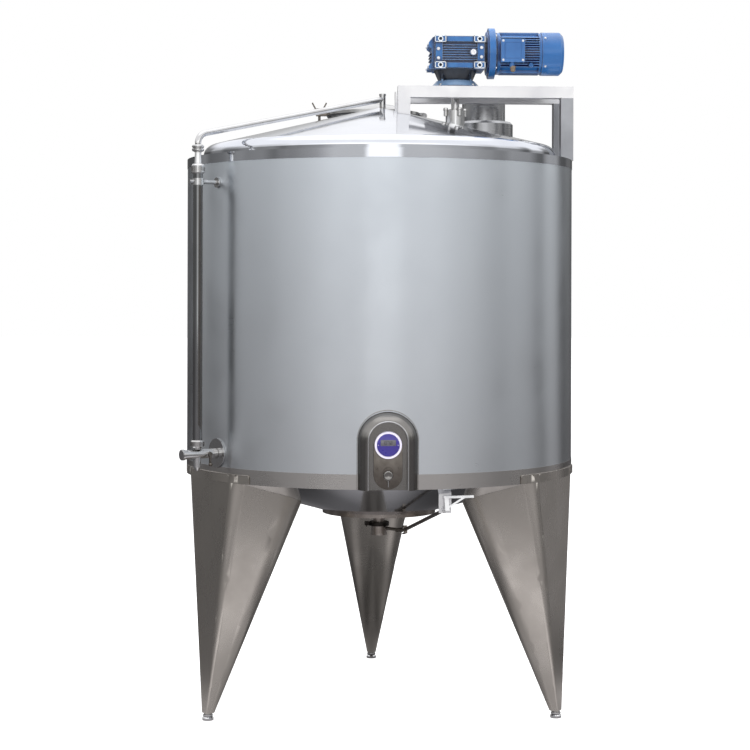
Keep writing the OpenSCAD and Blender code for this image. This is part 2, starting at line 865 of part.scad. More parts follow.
// Lower cock: body along the radius, spout below and a round plate on the jacket
module gauge_cock() {
    color("#b9b7b4")
        at_gauge() {
            difference() {
                union() {
                    translate([jacket_r - 30, 0, cock_z]) rod_x(cock_r, gauge_reach + 78 - jacket_r + 30);
                    translate([jacket_r - 30, 0, cock_z]) rod_x(61, 34);
                    translate([gauge_reach, 0, cock_z - 55]) cylinder(r = 16, h = 50);
                    translate([gauge_reach, 0, cock_z - 69]) cylinder(r1 = 6, r2 = 16, h = 14);
                    translate([lever_x, 0, cock_z]) rod_y(11, cock_r + cock_boss);
                }
                translate([lever_x, 1, cock_z]) rod_y(lever_pin_r + run_fit, cock_r + cock_boss);
                tank_body(seat);
            }
        }
}

// Lever with a ball end that hangs beside the cock
module cock_lever() {
    plate_y = cock_r + cock_boss + seat;
    color("#a3a3a3")
        at_gauge() {
            translate([lever_x, 6, cock_z]) rod_y(lever_pin_r, plate_y - 4);
            translate([lever_x, plate_y, cock_z]) rod_y(9, 6);
            translate([lever_x - 4, plate_y, cock_z - lever_len]) cube([8, 6, lever_len]);
            translate([lever_x, plate_y + 6, cock_z - lever_len]) sphere(r = 8.5);
        }
}

// Vapour pipe: up from the ferrule, a welded elbow, then along the head to the nozzle
module vapour_pipe() {
    start_z = rim_z + 29 + seat;
    corner_z = rim_z + elbow_rise;
    end_z = nozzle_top - 24;
    foot = [gauge_reach * cos(gauge_angle), gauge_reach * sin(gauge_angle)];
    span = norm([nozzle_x - foot[0], -foot[1]]);
    slope = atan2(end_z - corner_z, span);
    turn = 90 - slope;
    take = elbow_r * tan(turn / 2);
    overlap = 4;
    color("#c7c9cb")
        difference() {
            translate([foot[0], foot[1], 0])
                rotate([0, 0, atan2(-foot[1], nozzle_x - foot[0])]) {
                    translate([0, 0, start_z])
                        cylinder(r = pipe_r, h = corner_z - take - start_z + overlap);
                    translate([elbow_r, 0, corner_z - take])
                        rotate([90, 0, 180])
                            rotate_extrude(angle = turn)
                                translate([elbow_r, 0]) circle(r = pipe_r + elbow_proud);
                    translate([0, 0, corner_z])
                        rotate([0, turn, 0])
                            translate([0, 0, take - overlap])
                                cylinder(r = pipe_r, h = span / cos(slope) - take + overlap);
                }
            translate([nozzle_x, 0, rim_z]) cylinder(r = nozzle_r + seat, h = cut_h);
        }
}

module top_nozzle() {
    low = head_z(nozzle_x) - 25;
    color("#cfd1d3")
        translate([nozzle_x, 0, low]) {
            cylinder(r = nozzle_r, h = nozzle_top - low);
            translate([0, 0, nozzle_top - low - 8]) cylinder(r = nozzle_r + 2, h = 8);
        }
}

// Arched outline of the hood's recess
module recess(depth) {
    translate([-recess_w / 2, 0, jacket_low - 10]) cube([recess_w, depth, hood_centre - jacket_low + 10]);
    translate([0, 0, hood_centre]) rod_y(recess_w / 2, depth);
}

// Pressed arch hood with a bulging bevel and an open recess for the display and the probe
module sensor_hood() {
    lip = 5;
    half = hood_w / 2;
    face_half = recess_w / 2 + lip;
    back = 10 - sqrt(jacket_r * jacket_r - half * half);
    depth = back - hood_face;
    bulge = 1.4;
    bevel = [for (t = [0:10:90])
        [face_half + (half - face_half) * pow(cos(t), 2 / bulge), depth * pow(sin(t), 2 / bulge)]];
    color("#7d7f80")
        difference() {
            union() {
                for (side = [0, 1])
                    translate([0, 0, jacket_low])
                        mirror([side, 0, 0])
                            linear_extrude(hood_centre - jacket_low)
                                polygon([[-1, back], for (p = bevel) [p[0], back - p[1]], [-1, hood_face]]);
                translate([0, 0, hood_centre])
                    intersection() {
                        translate([0, back, 0])
                            rotate([90, 0, 0])
                                rotate_extrude()
                                    polygon([[0, 0], for (p = bevel) p, [0, depth]]);
                        translate([-half - 1, hood_face - 1, 0]) cube([2 * half + 2, depth + 2, half + 1]);
                    }
            }
            translate([0, hood_face - 1, 0]) recess(recess_floor - hood_face + 1);
            tank_body(seat);
        }
}

module display() {
    z = hood_centre - 14;
    color("#4a3fa0")
        translate([0, hood_face + 1, z]) {
            difference() {
                rod_y(display_r, recess_floor - hood_face - 1 - seat);
                translate([0, -1, 0]) rod_y(display_r - 6, 3);
            }
            translate([0, 1, 0]) rod_y(display_r - 7, 2);
        }
}

// Plate with the probe's knob and its locking pin
module probe_plate() {
    z = jacket_low + probe_plate_r + 4;
    color("#5d5b58")
        translate([0, recess_floor - seat, z])
            rotate([90, 0, 0]) {
                cylinder(r = probe_plate_r, h = 10);
                translate([0, 12, 0]) cylinder(r = 18, h = 26);
                translate([0, -30, 0]) cylinder(r = 3, h = 18);
                translate([-3, -30, 14]) cube([6, 26, 5]);
            }
}

// Outlet pipe, clamp and valve body, turned as one piece, with the sleeve of the stem
module outlet_valve() {
    pipe_top = vessel_low - (vessel_r - outlet_r) * tan(bottom_slope);
    bore_r = outlet_r - outlet_wall;
    low = valve_top - valve_h;
    sleeve_r = valve_h / 4;
    color("#a8a49f")
        difference() {
            union() {
                rotate_extrude()
                    polygon([
                        [0, low], [bore_r, low], [bore_r, low - 10], [valve_r + 2, low - 10],
                        [valve_r + 2, low], [valve_r, low], [valve_r, valve_top - 10],
                        [valve_r + 6, valve_top - 10], [valve_r + 6, valve_top + 2],
                        [outlet_r, valve_top + 2], [outlet_r, pipe_top],
                        [bore_r, pipe_top], [bore_r, valve_top], [0, valve_top]
                    ]);
                rotate([0, 0, stem_angle])
                    translate([valve_r - 6, 0, stem_z]) rod_x(sleeve_r, 20);
            }
            rotate([0, 0, stem_angle])
                translate([valve_r - 10, 0, stem_z]) rod_x(7 + run_fit, 30);
        }
}

// Fork of the universal joint, open towards +X with the joint's centre at the origin
module fork() {
    for (s = [-1, 1])
        translate([-27, s * 14.5 - 2.5, -6]) cube([35, 5, 12]);
    translate([-fork_back, -18, -8]) cube([8, 36, 16]);
}

module valve_yoke() {
    stem_len = joint_reach - fork_back - valve_r + 8;
    color("#57524d")
        rotate([0, 0, stem_angle])
            translate([joint_reach, 0, stem_z]) {
                fork();
                translate([-fork_back - stem_len, 0, 0]) rod_x(7, stem_len + 4);
                translate([0, -13, 0]) rod_y(5, 26);
            }
}

// Places what is drawn along the rod, with +X up the rod from the joint
module at_rod() {
    translate(rod_start) rotate([0, 0, rod_turn]) rotate([0, rod_tilt - 90, 0]) children();
}

// Remote rod with its fork below and the braced handle above the bracket
module drain_rod() {
    bar = 10;
    bar_up = 46;
    end = rod_len + 34;
    color("#8f8c88")
        at_rod() {
            rotate([90, 0, 0]) rotate([0, 180, 0]) fork();
            translate([fork_back - 4, 0, 0]) rod_x(rod_r, end - fork_back - bar + 10);
            // upright, bar and brace of the handle, in the plane across the rod
            translate([end - bar, -9, -10]) cube([bar, 18, bar_up + 10]);
            translate([end - bar, -12, bar_up - bar / 2]) cube([bar, handle_len, bar]);
            translate([end - bar, 0, 0])
                rotate([atan2(bar_up, handle_len * 0.62), 0, 0])
                    translate([0, 0, -4]) cube([bar, norm([bar_up, handle_len * 0.62]), 8]);
        }
}

module drain_bracket() {
    plate_t = 8;
    top = jacket_low + 20;
    color("#d5d5d6")
        difference() {
            union() {
                translate([bracket_x - bracket_w / 2, -bracket_y - plate_t / 2, rod_end[2] - 14])
                    cube([bracket_w, plate_t, top - rod_end[2] + 14]);
                at_rod() translate([rod_len - 12, 0, 0]) rod_x(rod_r + 6, 24);
            }
            at_rod() translate([rod_len - 40, 0, 0]) rod_x(rod_r + run_fit, 80);
            tank_body(seat);
        }
}

outer_jacket();
top_band();
hem_band();
inner_vessel();
vessel_bottom();
top_head();
bottom_cone();
bottom_pan();
leg_left();
leg_right();
leg_rear();
foot_left();
foot_right();
foot_rear();
beam_front();
beam_rear();
post_front();
post_rear();
drive_plate();
gearbox();
output_flange();
motor_flange();
motor_body();
fan_cover();
terminal_box();
seal_housing();
agitator_shaft();
impeller();
vent_port();
manway_neck();
manway_hinge();
manway_lid();
lid_clamp();
gauge_tube();
gauge_unions();
gauge_support();
gauge_cock();
cock_lever();
vapour_pipe();
top_nozzle();
sensor_hood();
display();
probe_plate();
outlet_valve();
valve_yoke();
drain_rod();
drain_bracket();
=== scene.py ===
# Herb extraction tank in a white studio: finishes of every part, and the fine fittings on top of them
import math

import bmesh
import bpy
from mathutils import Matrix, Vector


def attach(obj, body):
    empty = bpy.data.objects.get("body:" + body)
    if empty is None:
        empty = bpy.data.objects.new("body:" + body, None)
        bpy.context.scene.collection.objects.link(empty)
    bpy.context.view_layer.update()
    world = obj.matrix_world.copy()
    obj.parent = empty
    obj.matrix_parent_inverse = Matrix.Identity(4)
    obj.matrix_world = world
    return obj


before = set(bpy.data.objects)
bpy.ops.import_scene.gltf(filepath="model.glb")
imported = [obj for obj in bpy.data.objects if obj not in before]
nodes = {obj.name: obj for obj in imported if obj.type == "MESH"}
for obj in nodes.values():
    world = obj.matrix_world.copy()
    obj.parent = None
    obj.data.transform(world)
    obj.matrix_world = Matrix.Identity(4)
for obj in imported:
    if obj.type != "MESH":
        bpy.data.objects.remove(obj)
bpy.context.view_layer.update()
print("frame loaded:", len(nodes), "nodes")

mm = 0.001  # the frame is in metres, sizes below are in millimetres


def srgb(hexText):
    channels = [int(hexText[i:i + 2], 16) / 255 for i in (1, 3, 5)]
    linear = [c / 12.92 if c <= 0.04045 else ((c + 0.055) / 1.055) ** 2.4 for c in channels]
    return (*linear, 1)


def addNode(tree, kind, settings=None, **links):
    # settings go on the node itself, links set an input to a value or join it to another socket
    node = tree.nodes.new(kind)
    for name, value in (settings or {}).items():
        setattr(node, name, value)
    for name, value in links.items():
        socket = node.inputs[int(name[2:]) if name.startswith("in") else name.replace("_", " ")]
        if isinstance(value, bpy.types.NodeSocket):
            tree.links.new(value, socket)
        else:
            socket.default_value = value
    return node


white = srgb("#FFFFFF")

camera = {
    "place": (-0.3416, -8.1839, 1.8324),  # metres, level with the upper half of the jacket
    "turn": -2.39,                        # degrees about Z
    "roll": -0.15,                        # the photographer held it slightly off level
    "lens": 87.29,
    "shift": (-0.0059, -0.1145),
}

cameraData = bpy.data.cameras.new("photoCamera")
cameraData.lens = camera["lens"]
cameraData.sensor_width = 36
cameraData.shift_x, cameraData.shift_y = camera["shift"]
photoCamera = bpy.data.objects.new("photoCamera", cameraData)
photoCamera.location = camera["place"]
photoCamera.rotation_euler = [math.radians(a) for a in (90, camera["roll"], camera["turn"])]
bpy.context.scene.collection.objects.link(photoCamera)
bpy.context.scene.camera = photoCamera
bpy.context.scene.view_settings.view_transform = "Standard"

# What the metal mirrors: soft panels round the hall, by azimuth in degrees from the camera's side, plus to
# the right: middle, half width that is full, half width where it ends, brightness
studio = {
    "base": 0.22,
    "walls": [
        (0, 26, 78, 0.80),      # the open front of the hall
        (0, 26, 44, 0.16),
        (0, 60, 158, 0.56),     # its wide surroundings
        (-60, 2, 6, 0.08),
        (52, 2, 6, 0.07),
        (70, 2, 5, -0.06),
        (88, 7, 14, 0.28),
        (106, 2, 5, -0.12),
        (120, 4, 13, 0.72),
        (150, 4, 10, 0.20),
        (-96, 4, 12, 0.16),
        (-134, 5, 14, 0.34),
        (180, 6, 16, 0.30),     # a bright gap behind the tank
    ],
    "windows": [(0, 8, 12, 0.85), (-52, 12, 24, -0.15)],    # one bright and one dark
    # what changes with height: the sine of the angle over the horizon where the change starts and where it
    # ends, and the values before and after it
    "wallShare": (0.09, 0.16, 0.36, 1.0),      # the walls are darker near the horizon
    "windowShare": (0.09, 0.16, 1.0, 0.0),     # and the windows show only there, sharp in the mirror band
    "skyShare": (0.20, 0.40, 0.0, 1.0),        # where the walls give way to the sky
    "skyLevel": (0.72, 0.90, 1.30, 2.0),       # brighter straight overhead, for glints on rounded edges
    "sky": "#F2F2F4",
    "ambient": 0.46,            # light on matt surfaces from all round
    "floor": "#E4E4E4",         # the floor as the camera sees it, with a glow that lifts it to white
    "floorGlow": 0.90,
    "slate": "#8B898B",         # the floor as the metal mirrors it
    "floorLevel": 1.35,
    # painted shadow under the tank and painted light in rings round it: metres from the middle of the tank,
    # and the share of the floor's level there
    "floorZones": [(0.0, 0.62), (0.7, 0.62), (0.95, 1.5), (1.20, 1.5), (1.50, 0.55), (2.0, 0.55),
                   (2.6, 0.70)],
    "floorReach": 60,
}


def hallLevel(tree, direction):
    # brightness of the walls and of the windows towards a direction, and how high it points
    parts = addNode(tree, "ShaderNodeSeparateXYZ", Vector=direction)
    ahead = addNode(tree, "ShaderNodeMath", {"operation": "MULTIPLY"}, in0=parts.outputs["Y"], in1=-1.0)
    angle = addNode(tree, "ShaderNodeMath", {"operation": "ARCTAN2"}, in0=parts.outputs["X"],
                    in1=ahead.outputs[0])
    azimuth = addNode(tree, "ShaderNodeMath", {"operation": "DEGREES"}, in0=angle.outputs[0])
    levels = []
    for level, panels in ((studio["base"], studio["walls"]), (0.0, studio["windows"])):
        for middle, full, end, strength in panels:
            # ping-pong gives the shorter way round from the panel's middle
            turned = addNode(tree, "ShaderNodeMath", {"operation": "SUBTRACT"}, in0=azimuth.outputs[0],
                             in1=middle)
            away = addNode(tree, "ShaderNodeMath", {"operation": "PINGPONG"}, in0=turned.outputs[0],
                           in1=180.0)
            glow = addNode(tree, "ShaderNodeMapRange", {"interpolation_type": "SMOOTHSTEP"},
                           Value=away.outputs[0], From_Min=full, From_Max=end, To_Min=strength, To_Max=0.0)
            level = addNode(tree, "ShaderNodeMath", {"operation": "ADD"}, in0=level,
                            in1=glow.outputs[0]).outputs[0]
        levels.append(level)
    return (*levels, parts.outputs["Z"])


def studioWorld():
    world = bpy.data.worlds.new("whiteStudio")
    bpy.context.scene.world = world
    world.use_nodes = True
    tree = world.node_tree
    tree.nodes.clear()
    paths = addNode(tree, "ShaderNodeLightPath")
    direction = addNode(tree, "ShaderNodeTexCoord").outputs["Generated"]
    wall, window, height = hallLevel(tree, direction)
    rising = {}
    for name in ("wallShare", "windowShare", "skyShare", "skyLevel"):
        start, end, low, high = studio[name]
        rising[name] = addNode(tree, "ShaderNodeMapRange", {"interpolation_type": "SMOOTHSTEP"}, Value=height,
                               From_Min=start, From_Max=end, To_Min=low, To_Max=high).outputs[0]
    belt = addNode(tree, "ShaderNodeMath", {"operation": "MULTIPLY"}, in0=wall, in1=rising["wallShare"])
    lit = addNode(tree, "ShaderNodeMath", {"operation": "MULTIPLY_ADD"}, in0=window,
                  in1=rising["windowShare"], in2=belt.outputs[0])
    hall = addNode(tree, "ShaderNodeBackground", Color=white, Strength=lit.outputs[0])
    sky = addNode(tree, "ShaderNodeBackground", Color=srgb(studio["sky"]), Strength=rising["skyLevel"])
    mirrored = addNode(tree, "ShaderNodeMixShader", in0=rising["skyShare"], in1=hall.outputs[0],
                       in2=sky.outputs[0])
    soft = addNode(tree, "ShaderNodeBackground", Color=white, Strength=studio["ambient"])
    backdrop = addNode(tree, "ShaderNodeBackground", Color=white, Strength=1.0)
    seen = addNode(tree, "ShaderNodeMath", {"operation": "MAXIMUM"}, in0=paths.outputs["Is Camera Ray"],
                   in1=paths.outputs["Is Transmission Ray"])
    unseen = addNode(tree, "ShaderNodeMixShader", in0=paths.outputs["Is Glossy Ray"],
                     in1=soft.outputs[0], in2=mirrored.outputs[0])
    both = addNode(tree, "ShaderNodeMixShader", in0=seen.outputs[0], in1=unseen.outputs[0],
                   in2=backdrop.outputs[0])
    addNode(tree, "ShaderNodeOutputWorld", Surface=both.outputs[0])


studioWorld()

# soft boxes: place, aim and size in metres, power in watts
lamps = {
    "keyBox": ((-4.5, -6.5, 5.5), (0, 0, 1.8), (3.5, 3.5), 210),
    "fillBox": ((5.5, -5.0, 3.5), (0, 0, 1.6), (3.0, 4.0), 80),
    "topBox": ((0.5, 1.0, 7.0), (0, 0, 1.5), (4.0, 4.0), 300),
}
for name, (place, aim, size, power) in lamps.items():
    data = bpy.data.lights.new(name, "AREA")
    data.shape = "RECTANGLE"
    data.size, data.size_y = size
    data.energy = power
    lamp = bpy.data.objects.new(name, data)
    lamp.location = place
    lamp.rotation_euler = (Vector(aim) - Vector(place)).to_track_quat("-Z", "Y").to_euler()
    lamp.visible_glossy = False     # the metal mirrors the hall and not the lamps
    bpy.context.scene.collection.objects.link(lamp)


def studioFloor():
    material = bpy.data.materials.new("paleFloor")
    material.use_nodes = True
    tree = material.node_tree
    tree.nodes.clear()
    paths = addNode(tree, "ShaderNodeLightPath")
    pale = addNode(tree, "ShaderNodeBsdfDiffuse", Color=srgb(studio["floor"]))
    lift = addNode(tree, "ShaderNodeEmission", Color=white, Strength=studio["floorGlow"])
    bright = addNode(tree, "ShaderNodeAddShader", in0=pale.outputs[0], in1=lift.outputs[0])
    # in the metal it is a slate floor that takes the light of the walls, with a painted shadow under the tank
    # and a painted brighter ring round it
    place = addNode(tree, "ShaderNodeTexCoord").outputs["Object"]
    wall, _, _ = hallLevel(tree, place)
    reach = addNode(tree, "ShaderNodeVectorMath", {"operation": "LENGTH"}, in0=place).outputs["Value"]
    (_, share), *zones = studio["floorZones"]
    start, before = 0.0, share
    for end, level in zones:
        step = addNode(tree, "ShaderNodeMapRange", Value=reach, From_Min=start, From_Max=end,
                       To_Min=0.0, To_Max=level - before)
        share = addNode(tree, "ShaderNodeMath", {"operation": "ADD"}, in0=share,
                        in1=step.outputs[0]).outputs[0]
        start, before = end, level
    dim = addNode(tree, "ShaderNodeMath", {"operation": "MULTIPLY"}, in0=wall, in1=studio["floorLevel"])
    tone = addNode(tree, "ShaderNodeMath", {"operation": "MULTIPLY"}, in0=dim.outputs[0], in1=share)
    mirrored = addNode(tree, "ShaderNodeEmission", Color=srgb(studio["slate"]), Strength=tone.outputs[0])
    mix = addNode(tree, "ShaderNodeMixShader", in0=paths.outputs["Is Glossy Ray"], in1=bright.outputs[0],
                  in2=mirrored.outputs[0])
    addNode(tree, "ShaderNodeOutputMaterial", Surface=mix.outputs[0])
    shape = bmesh.new()
    bmesh.ops.create_grid(shape, x_segments=1, y_segments=1, size=studio["floorReach"])
    mesh = bpy.data.meshes.new("studioFloor")
    shape.to_mesh(mesh)
    shape.free()
    mesh.materials.append(material)
    floor = bpy.data.objects.new("studioFloor", mesh)
    floor.location.z = -1 * mm      # just under the feet
    bpy.context.scene.collection.objects.link(floor)


studioFloor()
print("studio ready")

# how bare metal and coated surfaces wear and take painted shade and light, apart from what the table of each
# finish says
metalWearAndShade = {
    "toneSpan": (0.3, 0.7), "roughSpan": (0.3, 0.7),    # part of the patchy noise that shows in each
    "roughShare": (0.85, 1.2),      # share of the roughness between and in the patches
    "detail": 4.0, "samples": 4,    # of the noise, and of the search for corners
    "grainRough": 0.3,              # share of the roughness that the grain moves up and down
    "grainHeight": 0.4,             # mm
    "grainTurn": 0.25,              # quarter turn: the reflections stretch across the grain
}
coatWearAndShade = {
    "toneSpan": (0.35, 0.65), "roughSpan": (0.3, 0.7),
    "roughShare": (0.85, 1.25),
    "detail": 3.0, "samples": 6,
    "chipAndEdgeLightSpan": (0.97, 0.88),       # how far a softened edge leans where the chips and the painted edge highlight start and where they are full
    "coatRough": 0.12,
    "peelHeight": 0.6,              # mm
    "peelStrength": 0.25,
}


def wornAndShadedFinish(name, values, wear):
    # what every finish shares: two tones and a change of gloss in cloudy patches and, where they are asked
    # for, another tone by height (painted light on the jacket and on the neck's flange), painted shade in the
    # corners, and edges lightened to another colour, both as chips and as a painted highlight
    material = bpy.data.materials.new(name)
    material.use_nodes = True
    tree = material.node_tree
    shader = tree.nodes["Principled BSDF"]
    coords = addNode(tree, "ShaderNodeTexCoord").outputs["Object"]
    cloud = addNode(tree, "ShaderNodeTexNoise", Vector=coords, Scale=1 / (values["patch"] * mm),
                    Detail=wear["detail"]).outputs["Fac"]
    first, second = values["tones"]
    layers = [(cloud, *wear["toneSpan"], 1.0, second)]
    # a tone by height: a painted lighter top on the jacket, a painted highlight on the neck's lit flange, and
    # the polished band of the rod
    if "higher" in values:
        colour, start, end = values["higher"]
        height = addNode(tree, "ShaderNodeSeparateXYZ", Vector=coords).outputs["Z"]
        layers.append((height, start, end, 1.0, colour))
    # painted shade: the colour darkens where the surface is closed in, standing in for the shade in corners
    # and recesses
    if "corner" in values:
        colour, reach, start, end = values["corner"]
        hollow = addNode(tree, "ShaderNodeAmbientOcclusion", {"samples": wear["samples"]},
                         Distance=reach * mm)
        layers.append((hollow.outputs["AO"], end, start, 1.0, colour))
    # wear and painted highlight: edges are lightened in patches, as paint chips and as a painted edge
    # highlight
    if "chipAndEdgeLight" in values:
        colour, reach = values["chipAndEdgeLight"]
        softened = addNode(tree, "ShaderNodeBevel", {"samples": 4}, Radius=reach * mm)
        facing = addNode(tree, "ShaderNodeNewGeometry").outputs["Normal"]
        same = addNode(tree, "ShaderNodeVectorMath", {"operation": "DOT_PRODUCT"}, in0=softened.outputs[0],
                       in1=facing)
        layers.append((same.outputs["Value"], *wear["chipAndEdgeLightSpan"], cloud, colour))
    # each layer covers the ones before it, from nothing where its span starts to the most where it ends
    tone = srgb(first)
    for source, start, end, most, colour in layers:
        share = addNode(tree, "ShaderNodeMapRange", Value=source, From_Min=start, From_Max=end, To_Max=most)
        tone = addNode(tree, "ShaderNodeMix", {"data_type": "RGBA"}, in0=share.outputs[0], in6=tone,
                       in7=srgb(colour)).outputs[2]
    tree.links.new(tone, shader.inputs["Base Color"])
    start, end = wear["roughSpan"]
    least, most = [values["roughness"] * share for share in wear["roughShare"]]
    rough = addNode(tree, "ShaderNodeMapRange", Value=cloud, From_Min=start, From_Max=end, To_Min=least,
                    To_Max=most).outputs[0]
    return material, tree, shader, coords, rough


def metalFinish(name, values):
    # bare metal: brushed or rolled grain over the flat dents of the sheet
    material, tree, shader, coords, rough = wornAndShadedFinish(name, values, metalWearAndShade)
    shader.inputs["Metallic"].default_value = 1.0
    if "anisotropy" in values:
        tangent = addNode(tree, "ShaderNodeTangent", {"direction_type": "RADIAL", "axis": "Z"})
        tree.links.new(tangent.outputs[0], shader.inputs["Tangent"])
        shader.inputs["Anisotropic"].default_value = values["anisotropy"]
        shader.inputs["Anisotropic Rotation"].default_value = metalWearAndShade["grainTurn"]
    (size, strength), (dent, dentDepth) = values["grain"], values["dents"]
    along = addNode(tree, "ShaderNodeMapping", Vector=coords, Scale=values.get("stretch", (1, 1, 1)))
    grain = addNode(tree, "ShaderNodeTexNoise", Vector=along.outputs[0], Scale=1 / (size * mm),
                    Detail=3.0).outputs["Fac"]
    sway = values["roughness"] * metalWearAndShade["grainRough"]
    streak = addNode(tree, "ShaderNodeMath", {"operation": "MULTIPLY_ADD"}, in0=grain, in1=sway, in2=rough)
    even = addNode(tree, "ShaderNodeMath", {"operation": "SUBTRACT"}, in0=streak.outputs[0], in1=sway / 2)
    tree.links.new(even.outputs[0], shader.inputs["Roughness"])
    dents = addNode(tree, "ShaderNodeTexNoise", Vector=coords, Scale=1 / (dent * mm), Detail=1.0)
    sheet = addNode(tree, "ShaderNodeBump", Height=dents.outputs["Fac"], Strength=1.0,
                    Distance=dentDepth * mm)
    bump = addNode(tree, "ShaderNodeBump", Height=grain, Normal=sheet.outputs[0], Strength=strength,
                   Distance=metalWearAndShade["grainHeight"] * mm)
    tree.links.new(bump.outputs[0], shader.inputs["Normal"])
    return material


# Sizes are in mm. Grain is its width and strength, drawn coarser than the real 0.1 mm so that it shows. Dents
# are their width and depth. Patch is the width of the smudges. Corner shade is the colour of the painted
# shade in corners and recesses, how far it reaches, and how open a place is where it is full and where it
# ends. Higher is the tone further up and the levels, in metres, between which it comes in; on the jacket it
# is a painted lighter top.
metals = {
    # 304 sheet, satin rolled: fine level lines that pull every reflection into upright bands; lighter higher
    #                          up as painted light from above
    "satinStainless": {"tones": ("#CCD0D4", "#C5C9CD"), "higher": ("#DEE5EB", 1.15, 2.45),
                       "roughness": 0.34, "anisotropy": 0.9, "stretch": (0.03, 0.03, 1),
                       "grain": (2.0, 0.1), "dents": (420, 0.5), "patch": 260},
    # 304 sheet, polished: mirrors the hall with small waves from the rolling
    "mirrorStainless": {"tones": ("#DDE0E6", "#D6D9E0"), "roughness": 0.07, "grain": (60, 0.12),
                        "dents": (300, 0.6), "patch": 180},
    # the lower hem, the same sheet dulled by warm dust and handling
    "hemStainless": {"tones": ("#B9B6B3", "#ABA8A6"), "roughness": 0.3, "anisotropy": 0.8,
                     "stretch": (0.03, 0.03, 1), "grain": (2.0, 0.05), "dents": (260, 0.4), "patch": 150},
    # folded legs: satin sheet brushed along the leg, a little warmer than the jacket
    "legStainless": {"tones": ("#CFCAC2", "#C1BCB4"), "roughness": 0.28, "stretch": (1, 1, 0.02),
                     "grain": (3.0, 0.03), "dents": (260, 0.25), "patch": 160},
    # box section of the drive frame: glass-bead blasted, nearly white and without sharp reflections
    "frameStainless": {"tones": ("#F4F4F4", "#ECECEE"), "corner": ("#A9AAAE", 12, 0.35, 0.8),
                       "roughness": 0.45, "stretch": (0.05, 1, 1), "grain": (2.5, 0.12),
                       "dents": (150, 0.15), "patch": 120},
    # the frame's posts, left satin and greyer than the beams
    "postStainless": {"tones": ("#A6A8AC", "#9C9EA2"), "roughness": 0.36, "stretch": (1, 1, 0.05),
                      "grain": (2.5, 0.1), "dents": (150, 0.15), "patch": 120},
    # turned and polished fittings: bright, with painted shade in their corners standing in for the dark edges
    # where they mirror each other
    "fittingStainless": {"tones": ("#D3D4D5", "#C7C6C5"), "corner": ("#6B6762", 9, 0.35, 0.8),
                         "roughness": 0.15, "grain": (14, 0.1), "dents": (80, 0.1), "patch": 60},
    # pressed hood: brushed upright, with its tone set darker than the jacket as painted shade for its dark
    # sides
    "hoodStainless": {"tones": ("#8D8B88", "#7F7D7A"), "roughness": 0.19, "stretch": (1, 1, 0.04),
                      "grain": (2.0, 0.05), "dents": (150, 0.2), "patch": 90},
    # drawn collar and neck on the head: satin, greyer than the head
    "collarStainless": {"tones": ("#A9AAAC", "#9C9D9F"), "roughness": 0.26, "stretch": (0.05, 0.05, 1),
                        "grain": (2.2, 0.06), "dents": (140, 0.2), "patch": 90},
    # mild steel of the drain drive and the cock's inner parts: dull, brown grey
    "darkSteel": {"tones": ("#7A746E", "#655F59"), "corner": ("#35302B", 8, 0.35, 0.8), "roughness": 0.36,
                  "grain": (5, 0.3), "dents": (60, 0.2), "patch": 30},
    # blackened steel of the clamp under the pan
    "blackSteel": {"tones": ("#2B2826", "#363230"), "roughness": 0.42, "grain": (4, 0.2),
                   "dents": (40, 0.2), "patch": 12},
    # the drain pan and the valve under it: handled, stained and warm grey
    "panStainless": {"tones": ("#A69F99", "#8E8680"), "roughness": 0.3, "stretch": (1, 1, 0.1),
                     "grain": (2.0, 0.12), "dents": (120, 0.3), "patch": 25},
    # the drain's rod: dull steel below, polished from the bracket to the handle
    "rodSteel": {"tones": ("#77716B", "#66605A"), "higher": ("#E6E6E6", 0.9, 0.925), "roughness": 0.3,
                 "grain": (5, 0.15), "dents": (60, 0.2), "patch": 30},
    # the gauge's slotted guard tube: polished, grey with one bright line
    "gaugeSleeve": {"tones": ("#8A8B8C", "#818283"), "roughness": 0.07, "stretch": (1, 1, 0.05),
                    "grain": (8, 0.05), "dents": (90, 0.05), "patch": 120},
    # screw heads and milled faces: bare aluminium, bright and slightly rough
    "bareAluminium": {"tones": ("#F2F3F5", "#DADCE0"), "roughness": 0.38, "grain": (1.6, 0.3),
                      "dents": (30, 0.05), "patch": 18},
    # the heat tinted weld metal: straw grey, with its own small ripple from geometry
    "weldMetal": {"tones": ("#B5B1AC", "#98928B"), "roughness": 0.3, "grain": (3, 0.3), "dents": (40, 0.1),
                  "patch": 22},
}
steels = {name: metalFinish(name, values) for name, values in metals.items()}


def coatFinish(name, values):
    # enamel, plastic or rubber: a coat with orange peel
    material, tree, shader, coords, rough = wornAndShadedFinish(name, values, coatWearAndShade)
    shader.inputs["Coat Weight"].default_value = values["coat"]
    shader.inputs["Coat Roughness"].default_value = coatWearAndShade["coatRough"]
    tree.links.new(rough, shader.inputs["Roughness"])
    peel = addNode(tree, "ShaderNodeTexNoise", Vector=coords, Scale=1 / (values["peel"] * mm), Detail=2.0)
    bump = addNode(tree, "ShaderNodeBump", Height=peel.outputs["Fac"], Strength=coatWearAndShade["peelStrength"],
                   Distance=coatWearAndShade["peelHeight"] * mm)
    tree.links.new(bump.outputs[0], shader.inputs["Normal"])
    return material
